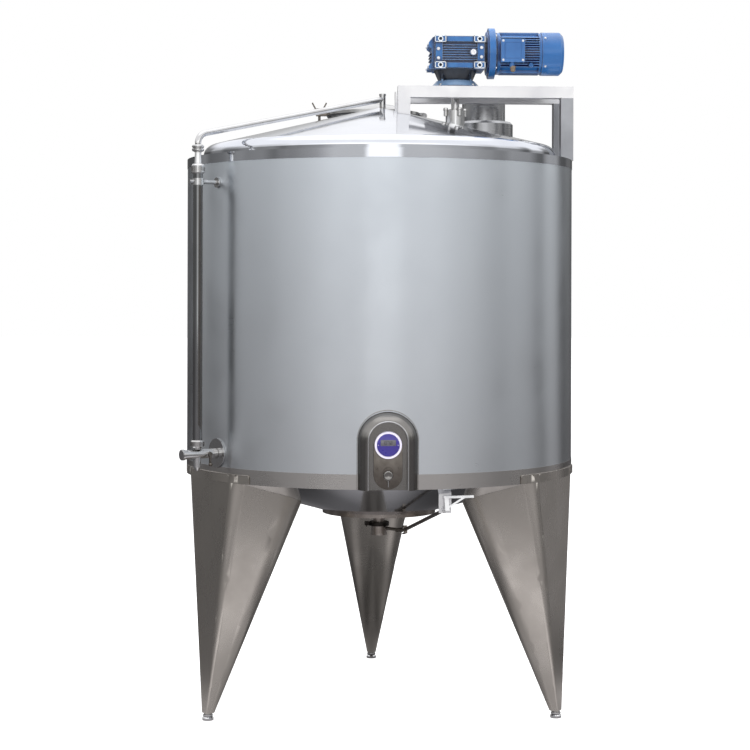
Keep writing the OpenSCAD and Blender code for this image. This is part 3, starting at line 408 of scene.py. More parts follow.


# as above; chip and edge light is the colour of the chips and of the painted edge highlight, and the width of
# the edge they are on, peel the width of a wave
paints = {
    # machine enamel on cast aluminium: mid blue, with painted shade that turns it navy between the ribs
    "blueEnamel": {"tones": ("#2C6DAE", "#2763A2"), "corner": ("#171A4E", 16, 0.55, 0.95),
                   "chipAndEdgeLight": ("#C9DCF0", 1.6), "roughness": 0.34, "coat": 0.3, "patch": 60, "peel": 4},
    # the same enamel on the gearbox, with deeper painted shade in its recesses
    "boxEnamel": {"tones": ("#2E6EAC", "#2761A0"), "corner": ("#0B0E33", 22, 0.6, 0.98),
                  "chipAndEdgeLight": ("#D5E3F2", 1.8), "roughness": 0.34, "coat": 0.3, "patch": 40, "peel": 4},
    # the pressed fan cover and box lid: lighter and smoother
    "coverEnamel": {"tones": ("#2A68A8", "#235E9C"), "corner": ("#163A74", 12, 0.3, 0.8),
                    "chipAndEdgeLight": ("#B9D2EE", 1.2), "roughness": 0.3, "coat": 0.4, "patch": 90, "peel": 6},
    # neck and flange in the shade of the box: painted shade makes the enamel almost black, with a painted
    # highlight on the lit flange below 2.77 m
    "neckEnamel": {"tones": ("#1A2533", "#141C28"), "higher": ("#7C9CC0", 2.776, 2.77),
                   "corner": ("#0C0D16", 40, 0.5, 0.98), "chipAndEdgeLight": ("#8FA3C4", 1.6), "roughness": 0.36,
                   "coat": 0.3, "patch": 30, "peel": 4},
    # printed polycarbonate film of the display
    "violetFilm": {"tones": ("#352A86", "#31267E"), "corner": ("#251C66", 4, 0.2, 0.7), "roughness": 0.3,
                   "coat": 0.5, "patch": 25, "peel": 3},
    # moulded rim of the display: pale lavender
    "paleRim": {"tones": ("#EDE8F6", "#E0DAEE"), "corner": ("#9B93B4", 4, 0.2, 0.7), "roughness": 0.35,
                "coat": 0.2, "patch": 30, "peel": 3},
    # window of the display: grey liquid crystal behind clear plastic
    "lcdGrey": {"tones": ("#5E5C62", "#57555C"), "corner": ("#474552", 3, 0.2, 0.7), "roughness": 0.22,
                "coat": 0.6, "patch": 12, "peel": 3},
    "lcdInk": {"tones": ("#2C2B36", "#32313C"), "corner": ("#22212B", 2, 0.2, 0.7), "roughness": 0.3,
               "coat": 0.3, "patch": 8, "peel": 3},
    # nitrile rubber of the lid's seal
    "sealRubber": {"tones": ("#3A3A3C", "#444446"), "corner": ("#1C1C1D", 6, 0.3, 0.8), "roughness": 0.62,
                   "coat": 0.0, "patch": 20, "peel": 2},
    # brown polyamide of the cable gland
    "glandPolyamide": {"tones": ("#8A7A66", "#6F604F"), "corner": ("#3A3028", 6, 0.3, 0.8),
                       "roughness": 0.42, "coat": 0.1, "patch": 9, "peel": 2},
    # pad rims of the gearbox, coloured pale as a painted highlight along their edges
    "paleRimHighlight": {"tones": ("#F0F4F8", "#DDE5EE"), "corner": ("#8092AC", 3, 0.2, 0.6), "roughness": 0.42,
                   "coat": 0.1, "patch": 10, "peel": 3},
    # the sight glass behind the slot of the gauge's guard: dark and wet looking
    "sightGlass": {"tones": ("#33302D", "#2A2826"), "corner": ("#1A1917", 3, 0.2, 0.7), "roughness": 0.1,
                   "coat": 0.8, "patch": 90, "peel": 60},
    # white plastic bezel of the oil sight plug
    "plugPlastic": {"tones": ("#F1F1F3", "#E4E4EA"), "corner": ("#8C90A4", 4, 0.3, 0.8), "roughness": 0.33,
                    "coat": 0.2, "patch": 8, "peel": 2},
}
coats = {name: coatFinish(name, values) for name, values in paints.items()}

dressing = {
    "satinStainless": ["outer_jacket", "inner_vessel", "vessel_bottom"],
    "mirrorStainless": ["top_band", "top_head", "bottom_cone"],
    "panStainless": ["bottom_pan", "outlet_valve"],
    "hemStainless": ["hem_band"],
    "legStainless": ["leg_left", "leg_right", "leg_rear"],
    "frameStainless": ["beam_front", "beam_rear", "drain_bracket"],
    "postStainless": ["post_front", "post_rear"],
    "hoodStainless": ["sensor_hood"],
    "collarStainless": ["vent_port", "manway_neck"],
    "blueEnamel": ["motor_flange", "motor_body"],
    "boxEnamel": ["gearbox"],
    "coverEnamel": ["fan_cover", "terminal_box"],
    "neckEnamel": ["output_flange"],
    "paleRim": ["display"],
    "gaugeSleeve": ["gauge_tube"],
    "rodSteel": ["drain_rod"],
    "darkSteel": ["valve_yoke", "probe_plate", "cock_lever", "lid_clamp"],
}
finishes = {**steels, **coats}
for name, part in nodes.items():
    chosen = next((finish for finish, names in dressing.items() if name in names), "fittingStainless")
    part.data.materials.clear()
    part.data.materials.append(finishes[chosen])
print("finishes set")


def addPiece(name, mesh, body="root"):
    mesh.name = name
    piece = bpy.data.objects.new(name, mesh)
    bpy.context.scene.collection.objects.link(piece)
    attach(piece, body)


def growPiece(name, tree, source, sizes, finish):
    # runs a node tree on a source mesh and keeps the plain mesh that comes out
    holder = bpy.data.objects.new(name + "Source", source)
    bpy.context.scene.collection.objects.link(holder)
    modifier = holder.modifiers.new("grow", "NODES")
    modifier.node_group = tree
    values = {**sizes, "Finish": finishes[finish]}
    for item in tree.interface.items_tree:
        if item.in_out == "INPUT" and item.name in values:
            modifier[item.identifier] = values[item.name]
    graph = bpy.context.evaluated_depsgraph_get()
    mesh = bpy.data.meshes.new_from_object(holder.evaluated_get(graph))
    holder.modifiers.remove(modifier)
    bpy.data.objects.remove(holder)
    addPiece(name, mesh)


def startTree(name, inputs):
    # the geometry in and out, one socket for each size, and the finish
    tree = bpy.data.node_groups.new(name, "GeometryNodeTree")
    tree.interface.new_socket("Geometry", in_out="OUTPUT", socket_type="NodeSocketGeometry")
    for label, kind in {"Geometry": "Geometry", **inputs, "Finish": "Material"}.items():
        tree.interface.new_socket(label, in_out="INPUT", socket_type="NodeSocket" + kind)
    return tree, addNode(tree, "NodeGroupInput").outputs


def endTree(tree, geometry, finish):
    solid = addNode(tree, "GeometryNodeRealizeInstances", Geometry=geometry)
    dressed = addNode(tree, "GeometryNodeSetMaterial", Geometry=solid.outputs[0], Material=finish)
    addNode(tree, "NodeGroupOutput", Geometry=dressed.outputs[0])
    return tree


# shares of the head's radius: the washer, where the head starts, its chamfered top, and how far that sinks in
screwShape = {"washerDepth": 0.34, "washerSides": 24, "seat": 0.16, "capTop": 0.84, "capDepth": 0.12,
              "lap": 0.005}
hexHead = {"Sides": 6, "Head Height": 0.62, "Washer": 1.25}
roundHead = {"Sides": 16, "Head Height": 0.55, "Washer": 1.2}


def screwTree():
    # screw heads with a washer on points that carry an aim and a size
    s = screwShape
    tree, given = startTree("screwHeads", {"Sides": "Int", "Head Height": "Float", "Washer": "Float"})
    head = addNode(tree, "GeometryNodeMeshCylinder", Vertices=given["Sides"], Radius=1.0,
                   Depth=given["Head Height"])
    lift = addNode(tree, "ShaderNodeMath", {"operation": "MULTIPLY_ADD"}, in0=given["Head Height"], in1=0.5,
                   in2=s["seat"])
    headUp = addNode(tree, "ShaderNodeCombineXYZ", Z=lift.outputs[0])
    headOn = addNode(tree, "GeometryNodeTransform", Geometry=head.outputs["Mesh"],
                     Translation=headUp.outputs[0])
    cap = addNode(tree, "GeometryNodeMeshCone", Vertices=given["Sides"], Radius_Top=s["capTop"],
                  Radius_Bottom=1.0, Depth=s["capDepth"])
    top = addNode(tree, "ShaderNodeMath", {"operation": "ADD"}, in0=given["Head Height"],
                  in1=s["seat"] - s["lap"])
    capUp = addNode(tree, "ShaderNodeCombineXYZ", Z=top.outputs[0])
    capOn = addNode(tree, "GeometryNodeTransform", Geometry=cap.outputs["Mesh"],
                    Translation=capUp.outputs[0])
    washer = addNode(tree, "GeometryNodeMeshCylinder", Vertices=s["washerSides"], Radius=given["Washer"],
                     Depth=s["washerDepth"])
    screw = addNode(tree, "GeometryNodeJoinGeometry")
    for part in (washer.outputs["Mesh"], headOn.outputs[0], capOn.outputs[0]):
        tree.links.new(part, screw.inputs[0])
    aim = addNode(tree, "GeometryNodeInputNamedAttribute", {"data_type": "FLOAT_VECTOR"}, Name="aim")
    size = addNode(tree, "GeometryNodeInputNamedAttribute", {"data_type": "FLOAT"}, Name="size")
    turned = addNode(tree, "FunctionNodeAlignRotationToVector", {"axis": "Z"}, Vector=aim.outputs[0])
    placed = addNode(tree, "GeometryNodeInstanceOnPoints", Points=given["Geometry"],
                     Instance=screw.outputs[0], Rotation=turned.outputs[0], Scale=size.outputs[0])
    return endTree(tree, placed.outputs[0], given["Finish"])


def gripTree():
    # small ridges that stand on a round nut, on points that carry an aim
    tree, given = startTree("gripRidges", {"Ridge": "Vector"})
    ridge = addNode(tree, "GeometryNodeMeshCube", Size=given["Ridge"])
    aim = addNode(tree, "GeometryNodeInputNamedAttribute", {"data_type": "FLOAT_VECTOR"}, Name="aim")
    turned = addNode(tree, "FunctionNodeAlignRotationToVector", {"axis": "X"}, Vector=aim.outputs[0])
    placed = addNode(tree, "GeometryNodeInstanceOnPoints", Points=given["Geometry"],
                     Instance=ridge.outputs["Mesh"], Rotation=turned.outputs[0])
    return endTree(tree, placed.outputs[0], given["Finish"])


# one swell every three steps, drifting with a noise, round a bead that is a little thinner between them
beadShape = {"beat": 2.1, "drift": 28.0, "thin": 0.9, "sides": 8}


def beadTree():
    # a rippled bead of weld along a path
    b = beadShape
    tree, given = startTree("weldBead", {"Step": "Float", "Radius": "Float", "Ripple": "Float"})
    path = addNode(tree, "GeometryNodeMeshToCurve", Mesh=given["Geometry"])
    even = addNode(tree, "GeometryNodeResampleCurve", {"mode": "LENGTH"}, Curve=path.outputs[0],
                   Length=given["Step"])
    index = addNode(tree, "GeometryNodeInputIndex")
    beat = addNode(tree, "ShaderNodeMath", {"operation": "MULTIPLY"}, in0=index.outputs[0], in1=b["beat"])
    wave = addNode(tree, "ShaderNodeMath", {"operation": "SINE"}, in0=beat.outputs[0])
    place = addNode(tree, "GeometryNodeInputPosition")
    drift = addNode(tree, "ShaderNodeTexNoise", Vector=place.outputs[0], Scale=b["drift"])
    both = addNode(tree, "ShaderNodeMath", {"operation": "ADD"}, in0=wave.outputs[0],
                   in1=drift.outputs["Fac"])
    swell = addNode(tree, "ShaderNodeMath", {"operation": "MULTIPLY_ADD"}, in0=both.outputs[0],
                    in1=given["Ripple"], in2=b["thin"])
    ring = addNode(tree, "GeometryNodeCurvePrimitiveCircle", Resolution=b["sides"], Radius=given["Radius"])
    mesh = addNode(tree, "GeometryNodeCurveToMesh", Curve=even.outputs[0], Profile_Curve=ring.outputs[0],
                   Scale=swell.outputs[0], Fill_Caps=True)
    smooth = addNode(tree, "GeometryNodeSetShadeSmooth", Geometry=mesh.outputs[0])
    return endTree(tree, smooth.outputs[0], given["Finish"])


screwHeads, gripRidges, weldBead = screwTree(), gripTree(), beadTree()


def pointMesh(points):
    # points are (place, aim, size) in mm
    mesh = bpy.data.meshes.new("points")
    mesh.from_pydata([Vector(place) * mm for place, _, _ in points], [], [])
    mesh.attributes.new("aim", "FLOAT_VECTOR", "POINT")
    mesh.attributes.new("size", "FLOAT", "POINT")
    # fetched again, because a new attribute moves the ones before it
    aims, sizes = mesh.attributes["aim"], mesh.attributes["size"]
    for i, (_, aim, size) in enumerate(points):
        aims.data[i].vector = aim
        sizes.data[i].value = size * mm
    return mesh


def pathMesh(paths):
    # paths are lists of points in mm, closed where the first point comes again at the end
    mesh = bpy.data.meshes.new("paths")
    places, links = [], []
    for path in paths:
        closed = path[0] == path[-1]
        ring = path[:-1] if closed else path
        first = len(places)
        places += [Vector(p) * mm for p in ring]
        links += [(first + i, first + i + 1) for i in range(len(ring) - 1)]
        if closed:
            links.append((first + len(ring) - 1, first))
    mesh.from_pydata(places, links, [])
    return mesh


def finishedMesh(shape, finish, crease=180):
    # smooth, but sharp where two faces meet at more than crease degrees
    mesh = bpy.data.meshes.new("shape")
    shape.to_mesh(mesh)
    shape.free()
    mesh.materials.append(finishes[finish])
    mesh.shade_smooth()
    mesh.set_sharp_from_angle(angle=math.radians(crease))
    return mesh


def onCircle(radius, degrees):
    turn = math.radians(degrees)
    return radius * math.cos(turn), radius * math.sin(turn)


def turnedMesh(outline, centre, along, finish, segments=48):
    # outline is (radius, distance) in mm, turned round the line from centre towards along
    shape = bmesh.new()
    stand = Vector(along).to_track_quat("Z", "Y").to_matrix().to_4x4()
    stand.translation = Vector(centre) * mm
    rings = []
    for radius, height in outline:
        around = [onCircle(radius, 360 * i / segments) for i in range(segments if radius else 1)]
        rings.append([shape.verts.new(stand @ (Vector((x, y, height)) * mm)) for x, y in around])
    for low, high in zip(rings, rings[1:]):
        for i in range(segments):
            quad = [low[i % len(low)], low[(i + 1) % len(low)],
                    high[(i + 1) % len(high)], high[i % len(high)]]
            shape.faces.new(list(dict.fromkeys(quad)))
    bmesh.ops.recalc_face_normals(shape, faces=shape.faces)
    return finishedMesh(shape, finish, 35)


def barsMesh(bars, edge, finish):
    # bars are (low corner, high corner) in mm, with their edges broken by edge
    shape = bmesh.new()
    for low, high in bars:
        low, high = Vector(low) * mm, Vector(high) * mm
        made = bmesh.ops.create_cube(shape, size=1.0)["verts"]
        for vert in made:
            vert.co = Vector(((low[k] + high[k]) / 2 + vert.co[k] * (high[k] - low[k])) for k in range(3))
        edges = list({e for vert in made for e in vert.link_edges})
        bmesh.ops.bevel(shape, geom=edges, offset=edge * mm, segments=2, affect="EDGES", profile=0.5)
    return finishedMesh(shape, finish, 50)


def prismMesh(outline, low, high, edge, finish):
    # outline of (x, z) points in mm, given a thickness along y from low to high, broken round the low side
    shape = bmesh.new()
    face = shape.faces.new([shape.verts.new(Vector((x, low, z)) * mm) for x, z in outline])
    grown = bmesh.ops.extrude_face_region(shape, geom=[face])["geom"]
    bmesh.ops.translate(shape, verts=[v for v in grown if isinstance(v, bmesh.types.BMVert)],
                        vec=(0, (high - low) * mm, 0))
    bmesh.ops.recalc_face_normals(shape, faces=shape.faces)
    near = 0.001 * mm
    rim = [e for e in shape.edges if all(abs(v.co.y - low * mm) < near for v in e.verts)]
    bmesh.ops.bevel(shape, geom=rim, offset=edge * mm, segments=2, affect="EDGES", profile=0.5)
    return finishedMesh(shape, finish, 40)


# what several of the pieces below go by: the head's slope, places in mm, and the legs' directions in degrees
tank = {
    "headApex": 2652.5, "headSlope": math.tan(math.radians(13.7)),
    "vent": (495, 270), "manway": (-15, 400), "hoodArch": 1220, "legs": (210, 330, 90),
}

# the gear motor in mm: its upright shaft is at axisX and the motor's axis at motorZ
drive = {
    "axisX": 340, "motorZ": 2896,
    "gearLeft": 241, "gearRight": 466, "gearLow": 2818, "gearHigh": 2965, "gearFace": 100,
    "padWide": 50, "padHigh": 30, "rimWide": 3.6, "rimProud": 1.6, "rimSunk": 0.6,
    # circles of four bolts: place along the axis, radius of the circle, size, and the neck's turn
    "motorBolts": (514, 101, 7), "flangeBolts": (2745, 100, 8), "neckBolts": (2640, 47, 10), "neckTurn": -25,
    "sideScrews": [(257, 2864), (257, 2906), (450, 2870), (450, 2912)], "sideY": 92,
    "lidScrewX": (543, 631), "lidScrewZ": (2853, 2939), "lidY": -130, "lidScrew": 4.6,
    "fanScrewX": 738, "fanScrewCircle": 97, "fanScrews": (40, 140, 220, 320),
    "endX": 214, "endScrewY": (-60, 60), "endScrewZ": (2830, 2930),
    "lidPanelX": (551, 623), "lidPanelZ": (2861, 2931), "lidCorner": 0.06,
}


def gearDriveDetails():
    d = drive
    # milled rims round the four pads of each side, with a ring round each bolt hole, all coloured pale as a
    # painted highlight
    bars, rings = [], bmesh.new()
    ring = [(7, 0), (12, 0), (12, 1.8), (11, 2.4), (8, 2.4), (7, 1.8), (7, 0)]
    wide = d["rimWide"]
    for side in (1, -1):
        root, out = side * (d["gearFace"] - d["rimSunk"]), side * (d["gearFace"] + d["rimProud"])
        near, far = sorted((root, out))
        for x in (d["gearLeft"], d["gearRight"] - d["padWide"]):
            for z in (d["gearLow"], d["gearHigh"] - d["padHigh"]):
                right, top = x + d["padWide"], z + d["padHigh"]
                bars += [((x, near, z), (right, far, z + wide)), ((x, near, top - wide), (right, far, top)),
                         ((x, near, z), (x + wide, far, top)), ((right - wide, near, z), (right, far, top))]
                rings.from_mesh(turnedMesh(ring, ((x + right) / 2, root, (z + top) / 2), (0, side, 0),
                                           "paleRimHighlight"))
    addPiece("gearPadRims", barsMesh(bars, 0.5, "paleRimHighlight"))
    addPiece("gearPadRings", finishedMesh(rings, "paleRimHighlight", 35))

    hexBolts = []
    for a in (45, 135, 225, 315):
        x, circle, size = d["motorBolts"]
        y, z = onCircle(circle, a)
        hexBolts.append(((x, y, d["motorZ"] + z), (1, 0, 0), size))
        for key, turn in (("flangeBolts", 0), ("neckBolts", d["neckTurn"])):
            z, circle, size = d[key]
            x, y = onCircle(circle, a + turn)
            hexBolts.append(((d["axisX"] + x, y, z), (0, 0, 1), size))
    growPiece("gearDriveBolts", screwHeads, pointMesh(hexBolts), hexHead, "fittingStainless")
    small = [((x, side * d["sideY"], z), (0, side, 0), 6) for side in (-1, 1) for x, z in d["sideScrews"]]
    small += [((x, d["lidY"], z), (0, -1, 0), d["lidScrew"]) for x in d["lidScrewX"] for z in d["lidScrewZ"]]
    for a in d["fanScrews"]:
        y, z = onCircle(d["fanScrewCircle"], a)
        small.append(((d["fanScrewX"], y, d["motorZ"] + z), (0, *onCircle(1, a)), d["lidScrew"]))
    small += [((d["endX"], y, z), (-1, 0, 0), 5) for y in d["endScrewY"] for z in d["endScrewZ"]]
    growPiece("gearDriveScrews", screwHeads, pointMesh(small), roundHead, "bareAluminium")

    sight = [(0, -1), (13, -1), (13, 3), (11.5, 5), (8, 5), (7, 3), (0, 2.5)]
    addPiece("oilSightPlug", turnedMesh(sight, (413, -98, 2891), (0, -1, 0), "plugPlastic"))
    gland = [(0, -2), (13, -2), (13, 8), (11, 10), (11, 16), (8.5, 22), (5, 24), (0, 24)]
    addPiece("cableGland", turnedMesh(gland, (588, -110, 2826), (0, 0, -1), "glandPolyamide", 24))
    plug = [(0, -8), (11, -8), (11, 6), (9, 9), (0, 9)]
    addPiece("motorDrainPlug", turnedMesh(plug, (673, -76, 2838), (0, -1, -0.2), "coverEnamel", 24))
    # the pressed panel of the terminal lid, a bead with cut corners
    (left, right), (low, high) = d["lidPanelX"], d["lidPanelZ"]
    corners = [(left, low), (left, high), (right, high), (right, low), (left, low)]
    bead = [(ax + (bx - ax) * t, d["lidY"], az + (bz - az) * t)
            for (ax, az), (bx, bz) in zip(corners, corners[1:])
            for t in (d["lidCorner"], 0.5, 1 - d["lidCorner"])]
    growPiece("terminalLidPanel", weldBead, pathMesh([bead + bead[:1]]),
              {"Step": 4 * mm, "Radius": 1.6 * mm, "Ripple": 0.0}, "coverEnamel")


gearDriveDetails()
print("gear drive detailed")

# weld beads in mm: rings on the head as place and radius, then where the pieces meet
welds = {
    "heavyRings": [(tank["vent"], 136), (tank["manway"], 200), ((drive["axisX"], 0), 43)],
    "fineRings": [((12, 0), 13.5)],
    "postX": (799, 852), "postY": (-150, 95), "postDeep": 55, "postFoot": 2405, "postTop": 2683,
    "legReach": 865.5, "legHalf": 19, "legTop": 1058, "legLow": 1022,
    "archHalf": 124.5, "archReach": 860, "archFoot": (1022, 1100, 1160),
    "bracketX": (217, 269), "bracketY": (-714, -706), "bracketZ": 1040,
    "heavy": {"Step": 6 * mm, "Radius": 1.9 * mm, "Ripple": 0.16},
    "fine": {"Step": 5 * mm, "Radius": 1.3 * mm, "Ripple": 0.14},
}


def roundOnHead(middle, radius, count=72):
    path = []
    for i in range(count):
        x, y = (c + d for c, d in zip(middle, onCircle(radius, 360 * i / count)))
        path.append((x, y, tank["headApex"] - math.hypot(x, y) * tank["headSlope"]))
    return path + path[:1]


def archPath(half, middle, foot, steps):
    # up one side, over the arch and down the other, as (x, z)
    over = [(-half * math.cos(a), middle + half * math.sin(a))
            for a in [math.pi * i / steps for i in range(steps + 1)]]
    return [(-half, z) for z in foot] + over + [(half, z) for z in reversed(foot)]


def weldDetails():
    w = welds
    heavy = [roundOnHead(*ring) for ring in w["heavyRings"]]
    (left, right), foot = w["postX"], w["postFoot"]
    for low in w["postY"]:
        back = low + w["postDeep"]
        heavy += [[(left, low, foot), (right, low, foot)], [(left, back, foot), (right, back, foot)],
                  [(left, low, w["postTop"]), (left, back, w["postTop"])]]
    for direction in tank["legs"]:
        arc = [onCircle(w["legReach"], direction + w["legHalf"] * (i / 12 - 1)) for i in range(25)]
        heavy.append([(*arc[0], w["legLow"]), *((x, y, w["legTop"]) for x, y in arc),
                      (*arc[-1], w["legLow"])])
    growPiece("weldSeams", weldBead, pathMesh(heavy), w["heavy"], "weldMetal")
    arch = archPath(w["archHalf"], tank["hoodArch"], w["archFoot"], 36)
    (left, right), (front, back) = w["bracketX"], w["bracketY"]
    bracket = [(left, front), (left, back), (right, back), (right, front), (left, front)]
    fine = [roundOnHead(*ring) for ring in w["fineRings"]]
    fine += [[(x, -math.sqrt(w["archReach"] ** 2 - x * x) - 1, z) for x, z in arch],
             [(x, y, w["bracketZ"]) for x, y in bracket]]
    growPiece("fineWelds", weldBead, pathMesh(fine), w["fine"], "weldMetal")


weldDetails()
print("welds laid")

# the level gauge: its direction in degrees, and sizes in mm
gauge = {
    "angle": 215, "reach": 957, "nutRadius": 28, "ridges": 28, "nutZ": (1183, 2333),
    "ridge": (3, 2.8, 16),
    "cockZ": 1140, "cockRings": (("cockEndRing", 1028, 48), ("cockRootNut", 890, 6)),   # reach and sides
    "slotFrom": 9, "slotTo": 96,    # degrees from the front towards the right
    "slotZ": (1238, 2266), "slotColumns": 14, "slotRows": 40,
    "tubeRadius": 20.45, "slotSunk": 0.55,
    "slotEnd": 22,                  # length over which the slot's ends grow to full width
}


def gaugeDetails():
    g = gauge
    x, y = onCircle(g["reach"], g["angle"])
    grips = []
    for z in g["nutZ"]:
        for i in range(g["ridges"]):
            c, s = onCircle(1, 360 * i / g["ridges"])
            grips.append(((x + g["nutRadius"] * c, y + g["nutRadius"] * s, z), (c, s, 0), 1))
    growPiece("gaugeNutGrips", gripRidges, pointMesh(grips), {"Ridge": [side * mm for side in g["ridge"]]},
              "fittingStainless")
    # a ring on the cock's end and a hex nut at its root
    ring = [(19.4, -6), (23, -5), (23, 5), (19.4, 6), (19.4, -6)]
    for name, reach, sides in g["cockRings"]:
        centre, along = onCircle(reach, g["angle"]), onCircle(1, g["angle"])
        addPiece(name, turnedMesh(ring, (*centre, g["cockZ"]), (*along, 0), "fittingStainless", sides))
    # the slot in the guard tube with the dark glass behind it; its rim lies under the tube's skin
    columns, rows, (low, high) = g["slotColumns"], g["slotRows"], g["slotZ"]
    middle, half = (g["slotFrom"] + g["slotTo"]) / 2, (g["slotTo"] - g["slotFrom"]) / 2
    shape = bmesh.new()
    grid = []
    for j in range(rows + 1):
        z = low + (high - low) * j / rows
        width = half * min(1.0, (z - low) / g["slotEnd"] + 0.25)
        line = []
        for i in range(columns + 1):
            inside = 0 < i < columns and 0 < j < rows
            proud = g["tubeRadius"] - (0 if inside else g["slotSunk"])
            dx, dy = onCircle(proud, middle - width + 2 * width * i / columns - 90)
            line.append(shape.verts.new(Vector((x + dx, y + dy, z)) * mm))
        grid.append(line)
    for under, over in zip(grid, grid[1:]):
        for i in range(columns):
            shape.faces.new([under[i], under[i + 1], over[i + 1], over[i]])
    addPiece("gaugeSlotGlass", finishedMesh(shape, "sightGlass"))


gaugeDetails()
print("gauge detailed")

# the display and the probe under it, in mm; face is the display's front and wall the recess behind the probe
panel = {
    "face": -897, "displayZ": 1206, "windowUp": 9, "windowSize": (62, 24, 4),
    "digits": "072", "digitHeight": 13, "digitWide": 6.76, "digitGap": 5, "bar": 1.5,
    "pipReach": 40,
    "wall": -868, "probeZ": 1084, "plateRadius": 58,
    "plateScrewX": (-46, 46), "plateScrewZ": (1112, 1060), "plateScrew": 3.4,
}


def roundedBox(width, height, radius, middle, count=6):
    corners = []
    for sx, sz, start in ((1, 1, 0), (-1, 1, 90), (-1, -1, 180), (1, -1, 270)):
        for i in range(count + 1):
            x, z = onCircle(radius, start + 90 * i / count)
            corners.append((sx * (width / 2 - radius) + x, middle + sz * (height / 2 - radius) + z))
    return corners


def digitBars(text, middle, face):
    # seven bar digits side by side, each bar as (low corner, high corner)
    lit = dict(zip("0123456789", ("abcdef", "bc", "abged", "abgcd", "fgbc", "afgcd", "afgecd", "abc",
                                  "abcdefg", "abcdfg")))
    high, wide, half = panel["digitHeight"], panel["digitWide"], panel["bar"] / 2
    spans = {"a": (0, high, wide, high), "g": (0, high / 2, wide, high / 2), "d": (0, 0, wide, 0),
             "f": (0, high / 2, 0, high), "b": (wide, high / 2, wide, high),
             "e": (0, 0, 0, high / 2), "c": (wide, 0, wide, high / 2)}
    bars, low = [], middle - high / 2
    for k, digit in enumerate(text):
        left = (k - len(text) / 2) * (wide + panel["digitGap"]) + panel["digitGap"] / 2
        for x0, z0, x1, z1 in [spans[name] for name in lit[digit]]:
            bars.append(((left + x0 - half, face - 0.7, low + z0 - half),
                         (left + x1 + half, face - 0.1, low + z1 + half)))
    return bars


def panelDetails():
    p = panel
    face, z = p["face"], p["displayZ"]
    film = [(0, 0), (46.5, 0), (46.5, 1.6), (45.5, 2.2), (0, 2.2)]
    addPiece("displayFilm", turnedMesh(film, (0, face + 3, z), (0, -1, 0), "violetFilm", 96))
    rim = [(46.8, -2), (46.8, 2.6), (48.4, 4.4), (51.4, 4.6), (54.2, 3.0), (55.2, 0), (55.2, -2), (46.8, -2)]
    addPiece("displayRim", turnedMesh(rim, (0, face + 2.4, z), (0, -1, 0), "paleRim", 96))
    window = z + p["windowUp"]
    addPiece("displayWindow", prismMesh(roundedBox(*p["windowSize"], window), face - 0.2, face + 1.4, 0.4,
                                        "lcdGrey"))
    addPiece("displayDigits", barsMesh(digitBars(p["digits"], window, face), 0.15, "lcdInk"))
    # two pips at the sides of the film
    pips = [((x - 2, face + 0.2, z - 1), (x + 2, face + 1, z + 1)) for x in (-p["pipReach"], p["pipReach"])]
    addPiece("displayPips", barsMesh(pips, 0.2, "paleRim"))

    # the long backing plate that joins the display and the probe, and the knob with its pull wire
    wall, z, radius = p["wall"], p["probeZ"], p["plateRadius"]
    arc = [(radius * math.cos(t), z - radius * math.sin(t)) for t in [math.pi * i / 40 for i in range(41)]]
    plate = arc + [(-radius, p["displayZ"]), (radius, p["displayZ"])]
    addPiece("probeBackplate", prismMesh(plate, wall - 12.5, wall - 9.5, 0.8, "darkSteel"))
    knob = [(0, 0), (18.6, 0), (20, 2), (20, 8), (18.5, 10), (15, 10.6), (13, 9.4), (0, 9.4)]
    addPiece("probeKnob", turnedMesh(knob, (0, wall - 28, z), (0, -1, 0), "hoodStainless", 64))
    wire = [(0, wall - 30, z - 19), (0.5, wall - 30, z - 30), (0.2, wall - 26, z - 46)]
    growPiece("probeWire", weldBead, pathMesh([wire]), {"Step": 3 * mm, "Radius": 2.2 * mm, "Ripple": 0.02},
              "fittingStainless")
    screws = [((x, wall - 12.5, z), (0, -1, 0), p["plateScrew"])
              for x in p["plateScrewX"] for z in p["plateScrewZ"]]
    growPiece("probePlateScrews", screwHeads, pointMesh(screws), roundHead, "darkSteel")


panelDetails()
print("display and probe detailed")

# the rest, in mm
fittings = {
    "lipRadius": 3.2, "recessHalf": 78.5, "faceY": -898, "lipFoot": (1024, 1090, 1155),
    "clampRadius": 45, "clampZ": 778,
    "footReach": 858, "footZ": 20.5, "footNut": 17,
    "sealZ": 2648,
    "ventTop": 2750, "ventCircle": 84, "ventScrew": 5,
}


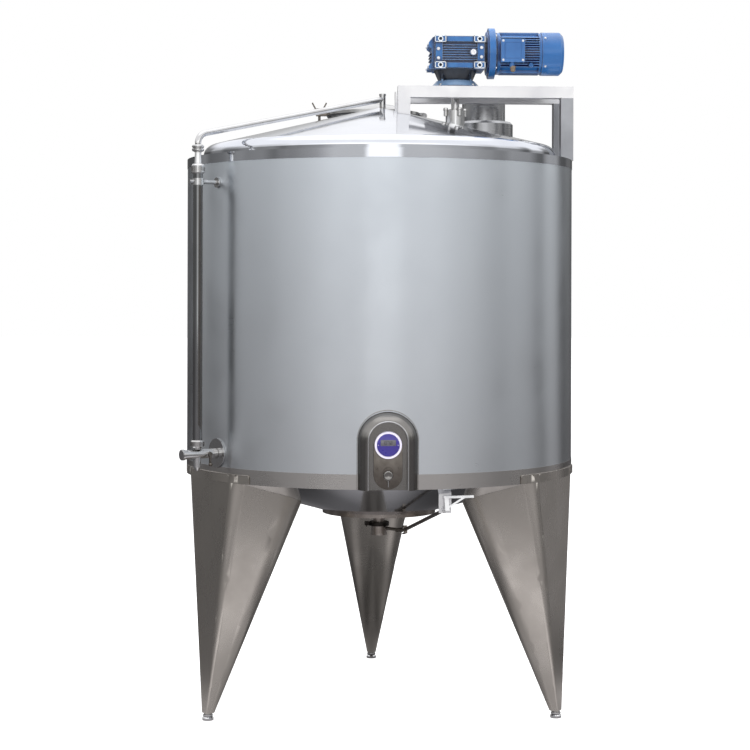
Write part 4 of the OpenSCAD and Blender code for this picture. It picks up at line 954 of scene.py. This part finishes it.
def fittingDetails():
    f = fittings
    # rolled lip round the hood's recess
    lip = archPath(f["recessHalf"] + f["lipRadius"] * 0.6, tank["hoodArch"], f["lipFoot"], 40)
    growPiece("hoodLip", weldBead, pathMesh([[(x, f["faceY"] + 1, z) for x, z in lip]]),
              {"Step": 6 * mm, "Radius": f["lipRadius"] * mm, "Ripple": 0.0}, "fittingStainless")

    # black two-part clamp round the valve's ferrule, with its bolt and wing nut at the left
    radius, z = f["clampRadius"], f["clampZ"]
    band = [(39, -9), (radius, -9), (radius + 1, -5), (radius + 1, 5), (radius, 9), (39, 9), (39, -9)]
    addPiece("valveClampBand", turnedMesh(band, (0, 0, z), (0, 0, 1), "blackSteel", 64))
    lugs = [((-64, -14, z - 8), (-43, -5, z + 8)), ((-64, 5, z - 8), (-43, 14, z + 8)),
            ((-58, -34, z - 11), (-54, -20, z + 11))]
    addPiece("valveClampLugs", barsMesh(lugs, 1.2, "blackSteel"))
    bolt = [(0, -22), (4, -22), (4, 16), (8, 16), (8, 22), (0, 22)]
    addPiece("valveClampBolt", turnedMesh(bolt, (-56, 0, z), (0, 1, 0), "blackSteel", 18))

    # lock nuts on the levelling feet
    nuts = [((*onCircle(f["footReach"], a), f["footZ"]), (0, 0, 1), f["footNut"]) for a in tank["legs"]]
    growPiece("footLockNuts", screwHeads, pointMesh(nuts), {**hexHead, "Head Height": 0.5},
              "fittingStainless")

    # rubber seal under the lid, and the screws of the vent's cover
    seal = [(210.5, -6), (217, -6), (218.5, -3), (217, 0), (210.5, 0), (210.5, -6)]
    addPiece("manwaySeal", turnedMesh(seal, (*tank["manway"], f["sealZ"]), (0, 0, 1), "sealRubber", 96))
    screws = []
    for i in range(6):
        x, y = onCircle(f["ventCircle"], 30 + 60 * i)
        screws.append(((tank["vent"][0] + x, tank["vent"][1] + y, f["ventTop"]), (0, 0, 1), f["ventScrew"]))
    growPiece("ventCoverScrews", screwHeads, pointMesh(screws), roundHead, "fittingStainless")


fittingDetails()
print("fittings added")
